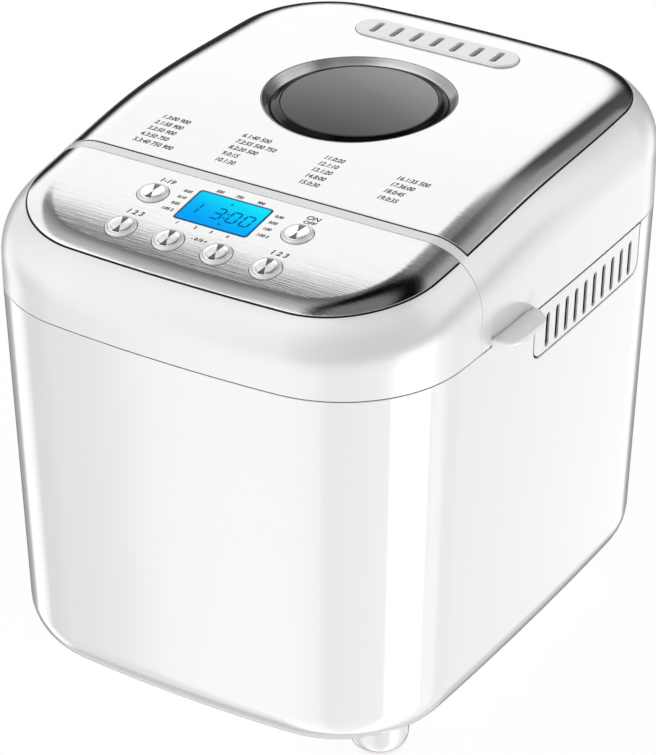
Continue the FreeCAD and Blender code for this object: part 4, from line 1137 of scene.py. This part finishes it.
# ------------------------------------------------------------------ steam vent on the lid
def plan_piece(b, outer, holes, z, t, rho, step, mat=0, rim=None, tilt=None):
    """A flat piece in plan with rounded rims, level at height z; tilt is not used."""
    Q, F = fill(outer, holes, step)
    V = np.concatenate([Q, np.full((len(Q), 1), z)], 1)
    return solid(b, Sheet(V, np.tile([0, 0, 1.0], (len(Q), 1)), F), t, rho, 4, mat, rim)


vz = float(T(VENT_Y))
b = Body()
slots = [dense(rrect(VENT_X + (i - 3) * 11.8, VENT_Y, 3.2, 12.8, 1.55, 6), 1.2) for i in range(7)]
outer = dense(rrect(VENT_X, VENT_Y, VENT_L - 0.3, VENT_W - 0.3, VENT_W / 2 - 0.2, 16), 2.0)
plan_piece(b, outer, slots, vz + 1.2, 2.6, lambda li, p: 0.8 if np.ptp(p[:, 0]) > 20 else 0.35, 2.6)
# dark tray under the vent slots: painted shade seen through them
plan_piece(b, dense(rrect(VENT_X, VENT_Y, VENT_L - 8, VENT_W - 5.4, VENT_W / 2 - 2.8, 8), 4.0), [], vz - 4.0, 1.0, 0.2, 6.0, 1, 1)
make("vent_cover_skin", b, [GRILLE, SLOT_SHADE], "lid", ["vent_cover"])

# ------------------------------------------------------------------ buttons
for name, (x, y) in BUTTONS.items():
    b = Body()
    rim = [(0, -4.9), (9.2, -4.9), (9.2, -3.7), (6.5, -3.7), (6.5, -2.6), (7.4, -2.6), (7.8, -2.3), (7.8, 0.3)]
    rim = rim[:-1] + [(6.3 + 1.5 * math.cos(t), -0.1 + 1.4 * math.sin(t)) for t in np.radians(np.arange(0, 91, 10))] + [(6.24, 1.24), (6.22, 1.05)]
    lathe(b, rim, 72, 1, 42)
    lathe(b, [(6.22, 1.05), (6.06, 1.05)], 72, 2, 30)
    disc = [(6.06, 1.05), (6.05, 1.2), (5.9, 1.28), (4.0, 1.31), (2.0, 1.33), (0.25, 1.34), (0, 1.34)]
    k0 = len(b.f)
    lathe(b, disc, 144, 0, 60)
    # two dark wedges across the cap: painted sheen, the dark bow-tie of spun metal drawn as fixed wedges in the cap's
    # colour
    for i in range(k0, len(b.f)):
        c = np.mean([b.v[j] for j in b.f[i]], 0)
        t = math.degrees(math.atan2(c[1], c[0])) - 97.0
        if abs((t + 90) % 180 - 90) < 19.0 and 0.25 < math.hypot(c[0], c[1]) < 5.95:
            b.m[i] = 3
    make(name + "_skin", b, [BUTTON, CHROME, GROOVE, BUTTON_SHEEN_WEDGE], name, [name], local=frame_at(x, y))

# ------------------------------------------------------------------ display
LCD, nt, bs = new_mat("lcd_screen")
tc = nd(nt, "ShaderNodeTexCoord")
gr = nd(nt, "ShaderNodeTexGradient", gradient_type="LINEAR")
mp = nd(nt, "ShaderNodeMapping", vector_type="TEXTURE")
mp.inputs["Location"].default_value = (0.006, -0.0125, 0)
mp.inputs["Rotation"].default_value = (0, 0, math.radians(76))
mp.inputs["Scale"].default_value = (0.030, 0.030, 0.030)
nt.links.new(tc.outputs["Object"], mp.inputs["Vector"])
nt.links.new(mp.outputs["Vector"], gr.inputs["Vector"])
col = ramp(nt, gr.outputs["Fac"], [(0.0, (0.004, 0.36, 0.94)), (0.30, (0.005, 0.47, 0.95)), (0.55, (0.006, 0.63, 0.96)), (0.80, (0.010, 0.79, 0.93)), (1.0, (0.012, 0.80, 0.90))])
nt.links.new(col, bs.inputs["Emission Color"])
bs.inputs["Emission Strength"].default_value = 1.0
bs.inputs["Specular IOR Level"].default_value = 0.0
nt.links.new(ramp(nt, noise(nt, 90.0, 2.0), [(0.3, (0.0, 0.004, 0.006)), (0.7, (0.0, 0.005, 0.008))]), bs.inputs["Base Color"])
nt.links.new(rng(nt, noise(nt, 40.0, 3.0), 0.18, 0.24), bs.inputs["Roughness"])
LCDEDGE = plastic("lcd_edge", (0.0, 0.16, 0.42), 0.3, spec=0.1, var=0.1)
SEG = plastic("lcd_segment", (0.002, 0.05, 0.14), 0.4, spec=0.0, var=0.1)
SEG.node_tree.nodes["Principled BSDF"].inputs["Emission Color"].default_value = (0.0, 0.14, 0.36, 1)
SEG.node_tree.nodes["Principled BSDF"].inputs["Emission Strength"].default_value = 0.6
b = Body()
plan_piece(b, dense(rrect(0, 0, LCD_W, LCD_D, 1.6, 5), 2.0), [dense(rrect(0, 0, LCD_W - 1.7, LCD_D - 1.7, 1.0, 5), 2.0)], 0.25, 2.2, 0.3, 3.0, 1, 1)
plan_piece(b, dense(rrect(0, 0, LCD_W - 1.72, LCD_D - 1.72, 1.0, 5), 2.0), [], 0.02, 1.9, 0.05, 2.5, 0, 0)


def stroke(b, pts, w, z, mat, h=0.06):
    """A flat bar along two points with pointed ends, as a thin solid."""
    p, q = np.array(pts[0], float), np.array(pts[1], float)
    d = unit(q - p)
    n = np.array([-d[1], d[0]]) * w / 2
    L = np.array([p, p + d * w / 2 - n, q - d * w / 2 - n, q, q - d * w / 2 + n, p + d * w / 2 + n])
    slab(b, L, z, h, mat)


def slab(b, L, z, h, mat, surf=None):
    """Thin closed solid over a plane loop, counter-clockwise."""
    L = np.asarray(L, float)
    n = len(L)
    V = [(x, y, z + h) for x, y in L] + [(x, y, z) for x, y in L]
    F = [tuple(range(n)), tuple(range(2 * n - 1, n - 1, -1))]
    Nn = [[(0, 0, 1)] * n, [(0, 0, -1)] * n]
    for i in range(n):
        j = (i + 1) % n
        d = unit(np.array([L[j][1] - L[i][1], -(L[j][0] - L[i][0]), 0.0]))
        F.append((j, i, n + i, n + j)); Nn.append([tuple(d)] * 4)
    if surf:
        V = [surf(*v) for v in V]
    b.add(V, F, Nn, mat)


SEGS = {"0": "abcdef", "1": "bc", "2": "abged", "3": "abgcd", "4": "fgbc", "5": "afgcd", "6": "afgedc", "7": "abc", "8": "abcdefg", "9": "abcfgd"}


def seven(b, ch, x, y, w, h, z, t):
    k = 0.10
    P = lambda u, v: (x + u * w + k * v * h, y + v * h)
    ends = {"a": ((0, 1), (1, 1)), "b": ((1, 1), (1, .5)), "c": ((1, .5), (1, 0)), "d": ((0, 0), (1, 0)), "e": ((0, .5), (0, 0)), "f": ((0, 1), (0, .5)), "g": ((0, .5), (1, .5))}
    for s in SEGS[ch]:
        p, q = (np.array(P(*e)) for e in ends[s])
        d = unit(q - p) * t * 0.22
        stroke(b, (p + d, q - d), t, z, 2)


zs = 0.035
for ch, x, w in (("1", -13.2, 0.01), ("3", -4.6, 4.6), ("0", 4.0, 4.6), ("0", 11.4, 4.6)):
    seven(b, ch, x, -5.6, w, 8.6, zs, 1.0 if w > 1 else 0.8)
for v in (0.28, 0.68):
    slab(b, rrect(2.0 + 0.1 * v * 8.6, -5.6 + v * 8.6, 1.1, 1.1, 0.3, 2), zs, 0.06, 2)
slab(b, [(-0.8, 7.2), (0.9, 7.2), (0.05, 9.0)], zs, 0.06, 2)
slab(b, [(3.0, -9.9), (3.9, -8.1), (2.1, -8.1)], zs, 0.06, 2)
make("lcd_lens_skin", b, [LCD, LCDEDGE, SEG], "body", ["lcd_lens"], local=frame_at(LCD_X, LCD_Y))

# ------------------------------------------------------------------ feet
b = Body()
for x, y in FEET:
    k0 = len(b.v)
    prof = [(9.7, 2.2), (9.7, 1.3)] + arc(10.0, 1.3, 0.3, 180, 265, 3) + [(10.2 + 4.6 * math.sin(t), 9.5 - 8.5 * math.cos(t)) for t in np.radians(np.arange(6, 91, 7))] + [(14.8, 22.0), (0, 22.0)]
    lathe(b, prof, 72, 0, 40)
    lathe(b, [(0, 2.2), (9.7, 2.2)], 72, 0, 40)
    b.v[k0:] = [(p[0] + x, p[1] + y, p[2]) for p in b.v[k0:]]
make("feet_skin", b, FOOTM, "body", ["feet"])


# ------------------------------------------------------------------ printed marks: plain numbers, rules and signs
def on_top(x, y, z):
    n = top_normal(np.array([y]))[0]
    return (x + n[0] * z, y + n[1] * z, float(T(y)) + n[2] * z)


def number(b, text, x, y, size, mat, align="LEFT", wide=1.0, slant=0.0, bold=0.0):
    cu = bpy.data.curves.new("n", "FONT")
    cu.body, cu.size, cu.extrude, cu.resolution_u = text, size, 0.03, 3
    cu.align_x, cu.shear, cu.offset = align, slant, bold
    ob = bpy.data.objects.new("n", cu)
    bpy.context.scene.collection.objects.link(ob)
    me = bpy.data.meshes.new_from_object(ob.evaluated_get(bpy.context.evaluated_depsgraph_get()))
    V = [on_top(x + v.co.x * wide, y + v.co.y, 0.03 + v.co.z) for v in me.vertices]
    F = [tuple(p.vertices) for p in me.polygons]
    Nn = []
    tn = tuple(top_normal(np.array([y]))[0])
    for p in me.polygons:
        n = p.normal
        d = tn if n.z > 0.5 else (tuple(-c for c in tn) if n.z < -0.5 else tuple(n))
        Nn.append([d] * len(p.vertices))
    b.add(V, F, Nn, mat)
    bpy.data.objects.remove(ob)
    bpy.data.meshes.remove(me)
    bpy.data.curves.remove(cu)


def rule(b, x0, x1, y, h, mat, shear=0.0):
    L = rrect((x0 + x1) / 2, y, x1 - x0, h, h * 0.3, 2)
    slab(b, dense(L, 6.0), 0.0, 0.06, mat, surf=on_top)


# numbered lines: running number, hours and minutes, weight
LINES = ["1.3:00 900", "2.1:58 900", "3.2:50 900", "4.3:50 750", "5.3:40 750 900", "6.1:40 500", "7.2:55 500 750", "8.2:20 500", "9.0:15", "10.1:30",
         "11.0:20", "12.1:10", "13.1:20", "14.8:00", "15.0:30", "16.1:35 500", "17.36:00", "18.0:45", "19.0:35"]
lidm = Body()
n = 0
for (x0, y0), (x1, y1), rows in (((-79.3, -33.1), (-81.1, -55.8), 5), ((-33.7, -31.0), (-34.7, -54.0), 5), ((12.8, -30.9), (12.5, -53.5), 5), ((53.6, -31.6), (53.3, -49.3), 4)):
    for r in range(rows):
        f = r / (rows - 1)
        number(lidm, LINES[n], x0 + (x1 - x0) * f, y0 + (y1 - y0) * f - 1.6, 4.5, 0, wide=0.84, slant=0.22, bold=0.09)
        n += 1
make("lid_marks", lidm, [INK, INK2], "lid")

pm = Body()
put = lambda t, x, y, size, mat=0, al="CENTER", wide=0.9: number(pm, t, x, y, size, mat, al, wide, 0.2, 0.10)
put("1-19", -44.6, -81.8, 4.6, wide=1.0)
put("1 2 3", -44.0, -110.2, 4.6, wide=1.0)
put("ON", 36.0, -79.4, 4.2, wide=1.1)
put("OFF", 36.0, -82.9, 3.4, 1, wide=1.1)
put("1 2 3", 36.6, -110.2, 4.6, wide=1.0)
for t, x in (("500", -16.5), ("750", -5.5), ("900", 6.5)):
    put(t, x, -78.4, 3.0)
for k, (l1, l2) in enumerate((("0:05", "0:30"), ("0:10", "0:50"), ("0:25", "1:00"), ("1:05 2", "1:00 5"))):
    y = -84.6 - 5.4 * k
    put(l1, -28.4, y, 2.9, 0, "RIGHT")
    put(l2, 18.4, y, 2.9, 0, "LEFT")
for t, x in (("1", -21.2), ("2", -10.8), ("3", -2.0), ("4", 7.0)):
    put(t, x, -108.2, 2.7)
put("- 0:10 +", -3.8, -115.7, 3.0)
make("panel_marks", pm, [INK, INK2], "body")

# ------------------------------------------------------------------ finishes of the carried-over nodes
STEEL_Z = metal("zinc_steel", (0.60, 0.61, 0.62), 0.38, var=0.12, scale=45.0, grain=0.1)
SCREW = metal("screw_steel", (0.52, 0.52, 0.53), 0.30, var=0.1, scale=300.0)
CHAMBER = metal("chamber_steel", (0.56, 0.56, 0.55), 0.34, var=0.10, stretch=(20.0, 20.0, 300.0), grain=0.06)
LINER = metal("liner_steel", (0.66, 0.66, 0.65), 0.28, var=0.08, stretch=(12.0, 260.0, 260.0), grain=0.05)
ALLOY = metal("cast_alloy", (0.50, 0.50, 0.51), 0.46, var=0.12, scale=180.0, grain=0.35)
BRONZE = metal("bronze", (0.52, 0.34, 0.16), 0.38, var=0.12, scale=200.0, grain=0.15)
BAR = metal("steel_bar", (0.62, 0.62, 0.63), 0.22, var=0.08, stretch=(160.0, 160.0, 30.0))
WIRE = metal("handle_wire", (0.58, 0.58, 0.58), 0.26, var=0.08, scale=120.0)
ELEM = metal("element_sheath", (0.12, 0.115, 0.11), 0.5, var=0.25, scale=90.0, grain=0.2)
COAT = plastic("pan_coating", (0.045, 0.046, 0.050), 0.34, var=0.15, grain=0.25, grain_scale=2600.0)
DECKM = plastic("deck_black", (0.022, 0.022, 0.023), 0.36, var=0.15, grain=0.25, grain_scale=1100.0)
CERAM = plastic("ceramic", (0.72, 0.69, 0.63), 0.42, var=0.05)
BOARD = plastic("board_green", (0.03, 0.16, 0.07), 0.4, var=0.2, grain=0.2)
PARTS = plastic("board_parts", (0.05, 0.05, 0.055), 0.42, var=0.35)
MOTOR = plastic("motor_paint", (0.06, 0.065, 0.07), 0.42, var=0.12, grain=0.2)
BELT = plastic("belt_rubber", (0.02, 0.02, 0.02), 0.75, var=0.2, grain=0.4)
SEAL = plastic("seal_silicone", (0.30, 0.30, 0.30), 0.55, var=0.08, grain=0.2)
PANE = plastic("liner_pane", (0.035, 0.035, 0.036), 0.05, spec=0.6, var=0.1)
FINISH = {
    "base_plate": STEEL_Z, "base_screws": SCREW, "foot_pads": RUBBER, "lcd_module": DARK, "control_pcb": BOARD, "tact_switches": PARTS,
    "deck": DECKM, "chamber_liner": CHAMBER, "heating_element": ELEM, "element_bushes": CERAM, "element_brackets": STEEL_Z, "temperature_sensor": BAR,
    "thermal_fuse": CERAM, "chassis_plate": STEEL_Z, "chamber_posts": STEEL_Z, "bearing_housing": ALLOY, "shaft_bushes": BRONZE, "drive_shaft": BAR,
    "drive_pulley": DARK, "drive_coupling": ALLOY, "motor_body": MOTOR, "motor_mounts": RUBBER, "motor_shaft": BAR, "motor_pulley": ALLOY,
    "drive_belt": BELT, "power_pcb": BOARD, "power_components": PARTS, "cord_gland": DARK, "pan_clips": STEEL_Z, "bread_pan": COAT, "pan_base": ALLOY,
    "pan_bush": BRONZE, "pan_handle": WIRE, "pan_shaft": BAR, "pan_coupling": ALLOY, "kneading_paddle": COAT, "lid_liner": LINER, "liner_glass": PANE,
    "lid_gasket": SEAL, "lid_screws": SCREW, "hinge_pins": BAR,
}
for name, m in FINISH.items():
    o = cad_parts[name]
    if not o.material_slots:
        o.data.materials.append(m)
    for s in o.material_slots:
        s.material = m

# ------------------------------------------------------------------ floor
me = bpy.data.meshes.new("floor")
me.from_pydata([(-6, -6, -0.0004), (6, -6, -0.0004), (6, 6, -0.0004), (-6, 6, -0.0004)], [], [(0, 1, 2, 3)])
floor = bpy.data.objects.new("floor", me)
bpy.context.scene.collection.objects.link(floor)
FLOOR, nt, bs = new_mat("floor_white")
nt.links.new(ramp(nt, noise(nt, 3.0, 3.0), [(0.3, (0.50, 0.50, 0.50)), (0.7, (0.505, 0.505, 0.505))]), bs.inputs["Base Color"])
bs.inputs["Roughness"].default_value = 0.9
bs.inputs["Specular IOR Level"].default_value = 0.0
bs.inputs["Emission Color"].default_value = (1, 1, 1, 1)
bs.inputs["Emission Strength"].default_value = 0.62
me.materials.append(FLOOR)
floor.visible_glossy = False
floor.visible_diffuse = False
floor.visible_shadow = False

# ------------------------------------------------------------------ camera
B = Vector((0.4598, -0.7393, 0.4920)).normalized()
target = Vector((-4.52, -6.4, 126.0)) * 0.001
cam = bpy.data.cameras.new("camera")
cam.lens, cam.sensor_width, cam.sensor_fit = 164.72, 36.0, "AUTO"
cam.clip_end = 50
co = bpy.data.objects.new("camera", cam)
co.location = target + B * 1.7541
co.rotation_euler = B.to_track_quat("Z", "Y").to_euler()
bpy.context.scene.collection.objects.link(co)
bpy.context.scene.camera = co

# ------------------------------------------------------------------ studio
scene = bpy.context.scene
scene.view_settings.view_transform = "Standard"
world = bpy.data.worlds.new("studio")
scene.world = world
world.use_nodes = True
wt = world.node_tree
wt.nodes.clear()


def wm(op, a, b=None):
    n = nd(wt, "ShaderNodeMath", operation=op)
    for i, v in enumerate((a, b)):
        if v is None:
            continue
        if isinstance(v, (int, float)):
            n.inputs[i].default_value = v
        else:
            wt.links.new(v, n.inputs[i])
    return n.outputs[0]


def sm(v, a, b):
    m = nd(wt, "ShaderNodeMapRange", interpolation_type="SMOOTHSTEP")
    m.inputs["From Min"].default_value = a
    m.inputs["From Max"].default_value = b
    wt.links.new(v, m.inputs["Value"])
    return m.outputs["Result"]


tc = nd(wt, "ShaderNodeTexCoord")


def dot(v):
    n = nd(wt, "ShaderNodeVectorMath", operation="DOT_PRODUCT")
    wt.links.new(tc.outputs["Generated"], n.inputs[0])
    n.inputs[1].default_value = v
    return n.outputs["Value"]


BACK = 211.9
ba = math.radians(BACK)
AZ = wm("MULTIPLY", wm("ARCTAN2", dot((math.cos(ba), math.sin(ba), 0)), dot((math.sin(ba), -math.cos(ba), 0))), 180 / math.pi)
EL = wm("MULTIPLY", wm("ARCSINE", dot((0, 0, 1))), 180 / math.pi)


def profile(pts):
    """Radiance by azimuth in degrees, counter-clockwise from the front."""
    st = sorted((((a - BACK + 180) % 360) / 360.0, v) for a, v in pts)
    top = max(v for _, v in st)
    f = wm("MULTIPLY", wm("ADD", AZ, 180.0), 1 / 360.0)
    c = ramp(wt, f, [(p, (v / top,) * 3) for p, v in st])
    return wm("MULTIPLY", c, top)


def soft(a0, a1, sa, e0, e1, se, v):
    """A soft box of light between two azimuths, measured from straight behind, and two heights."""
    a = wm("MULTIPLY", sm(AZ, a0 - sa, a0 + sa), wm("SUBTRACT", 1.0, sm(AZ, a1 - sa, a1 + sa)))
    e = wm("MULTIPLY", sm(EL, e0 - se, e0 + se), wm("SUBTRACT", 1.0, sm(EL, e1 - se, e1 + se)))
    return wm("MULTIPLY", wm("MULTIPLY", a, e), v)


def by_az(pts):
    """A number by azimuth measured from straight behind."""
    top = max(v for _, v in pts)
    f = wm("MULTIPLY", wm("ADD", AZ, 180.0), 1 / 360.0)
    return wm("MULTIPLY", ramp(wt, f, [((a + 180) / 360.0, (v / top,) * 3) for a, v in pts]), top)


below = profile([(-138, 0.08), (-114, 0.08), (-110, 0.6), (-106, 1.9), (-101, 2.4), (-92, 2.6), (-85, 2.3), (-78, 1.2), (-62, 1.5), (-46, 2.1), (-41.5, 2.7), (-37, 3.75), (-30, 4.15), (-15, 4.3),
                 (-4, 4.2), (13, 3.8), (17.5, 3.1), (40, 3.2), (70, 3.6), (100, 3.7), (114, 3.4), (118, 3.6), (126, 3.2), (131, 2.4), (146, 2.0), (155, 2.25), (163, 2.35), (169, 2.4), (174, 1.6), (178, 0.6), (182, 0.15), (198, 0.06)])
dim = by_az([(-180, 0.0), (-62, 0.0), (-50, 0.7), (30, 0.75), (62, 0.85), (80, 0.7), (95, 0.0), (180, 0.0)])
deep = by_az([(-180, 33), (25, 33), (42, 47), (80, 54), (180, 54)])
dim = wm("MULTIPLY", dim, sm(wm("MULTIPLY", wm("ADD", EL, deep), -1.0), 0, 8))
below = wm("MULTIPLY", below, wm("SUBTRACT", 1.0, dim))
upper = by_az([(-180, 0.6), (-160, 0.35), (-140, 0.42), (-122, 0.5), (-114, 0.9), (-106, 2.0), (-98, 2.6), (-85, 2.5), (-72, 2.9), (-66, 2.5), (-61.5, 1.4), (-57, 0.8), (-50, 0.5), (-42, 0.55), (-38.5, 0.15),
               (-23, 0.1), (-14.5, 1.65), (-8, 1.8), (18, 1.8), (25, 1.7), (33, 1.75), (45, 1.65), (58, 1.9), (70, 2.8), (80, 3.2), (95, 3.5), (110, 4.1), (120, 3.7), (130, 3.0), (140, 2.1), (160, 1.1), (180, 0.6)])
ceil_ = by_az([(-180, 75), (-120, 66), (-105, 54), (-92, 57), (-76, 50), (-66, 41), (-57, 40), (-40, 42), (-20, 46.5), (0, 46), (10, 48.6), (16, 49), (18, 45.5), (20, 40), (25, 35.5), (31, 37), (40, 41), (50, 44), (58, 48), (72, 60), (90, 66), (110, 72), (180, 75)])
sill = wm("SUBTRACT", by_az([(-180, 10), (-100, 42), (-84, 42), (-76, 38), (-70, 14), (-45, 10), (-30, 41), (25, 41), (45, 10), (180, 10)]), 30.0)
over = sm(wm("SUBTRACT", EL, ceil_), -1.6, 1.6)
window = wm("MULTIPLY", wm("SUBTRACT", 1.0, over), sm(wm("SUBTRACT", EL, sill), -7, 7))
crown = by_az([(-180, 0.0), (-82, 0.0), (-68, 0.7), (-55, 0.7), (-42, 0.47), (-28, 0.34), (-18, 0.5), (-8, 0.35), (0, 0.12), (8, 0.2), (13, 0.4), (16, 0.16), (20, 0.2), (27, 0.38), (33, 0.48), (45, 0.8), (62, 0.95), (75, 1.2), (85, 0.6), (95, 0.0), (180, 0.0)])
crest = by_az([(-180, 56), (-30, 55.5), (-5, 55.5), (12, 58), (20, 62), (30, 66), (60, 69), (90, 69), (180, 60)])
crown = wm("MULTIPLY", wm("MULTIPLY", crown, over), wm("SUBTRACT", 1.0, sm(wm("SUBTRACT", EL, crest), -3, 3)))
near = wm("MULTIPLY", wm("MULTIPLY", by_az([(-180, 1.0), (-135, 1.0), (-112, 0.0), (115, 0.0), (140, 1.0), (180, 1.0)]), sm(EL, 26, 58)), wm("SUBTRACT", 1.0, sm(EL, 69, 78)))
above = wm("ADD", wm("ADD", wm("MULTIPLY", upper, window), crown), near)
above = wm("ADD", above, wm("MULTIPLY", sm(EL, 70, 78), 0.3))
low = wm("MULTIPLY", by_az([(-180, 0.0), (-46, 0.0), (-32, 0.9), (32, 0.9), (46, 0.0), (180, 0.0)]), sm(wm("MULTIPLY", EL, -1.0), 42, 50))
below = wm("ADD", below, low)
t_ = sm(EL, -16, 6)
strip = soft(-138.5, -101.5, 1.2, -80, -5.5, 1.5, 2.6)
glossy = wm("ADD", wm("ADD", wm("MULTIPLY", below, wm("SUBTRACT", 1.0, t_)), wm("MULTIPLY", above, t_)), strip)
lp = nd(wt, "ShaderNodeLightPath")


def bg(strength):
    n = nd(wt, "ShaderNodeBackground")
    n.inputs["Color"].default_value = (1, 1, 1, 1)
    if isinstance(strength, (int, float)):
        n.inputs["Strength"].default_value = strength
    else:
        wt.links.new(strength, n.inputs["Strength"])
    return n.outputs[0]


def mixs(f, a, b):
    n = nd(wt, "ShaderNodeMixShader")
    wt.links.new(f, n.inputs[0]); wt.links.new(a, n.inputs[1]); wt.links.new(b, n.inputs[2])
    return n.outputs[0]


out = nd(wt, "ShaderNodeOutputWorld")
s1 = mixs(lp.outputs["Is Glossy Ray"], bg(0.755), bg(glossy))
s2 = mixs(lp.outputs["Is Camera Ray"], s1, bg(1.0))
wt.links.new(s2, out.inputs["Surface"])
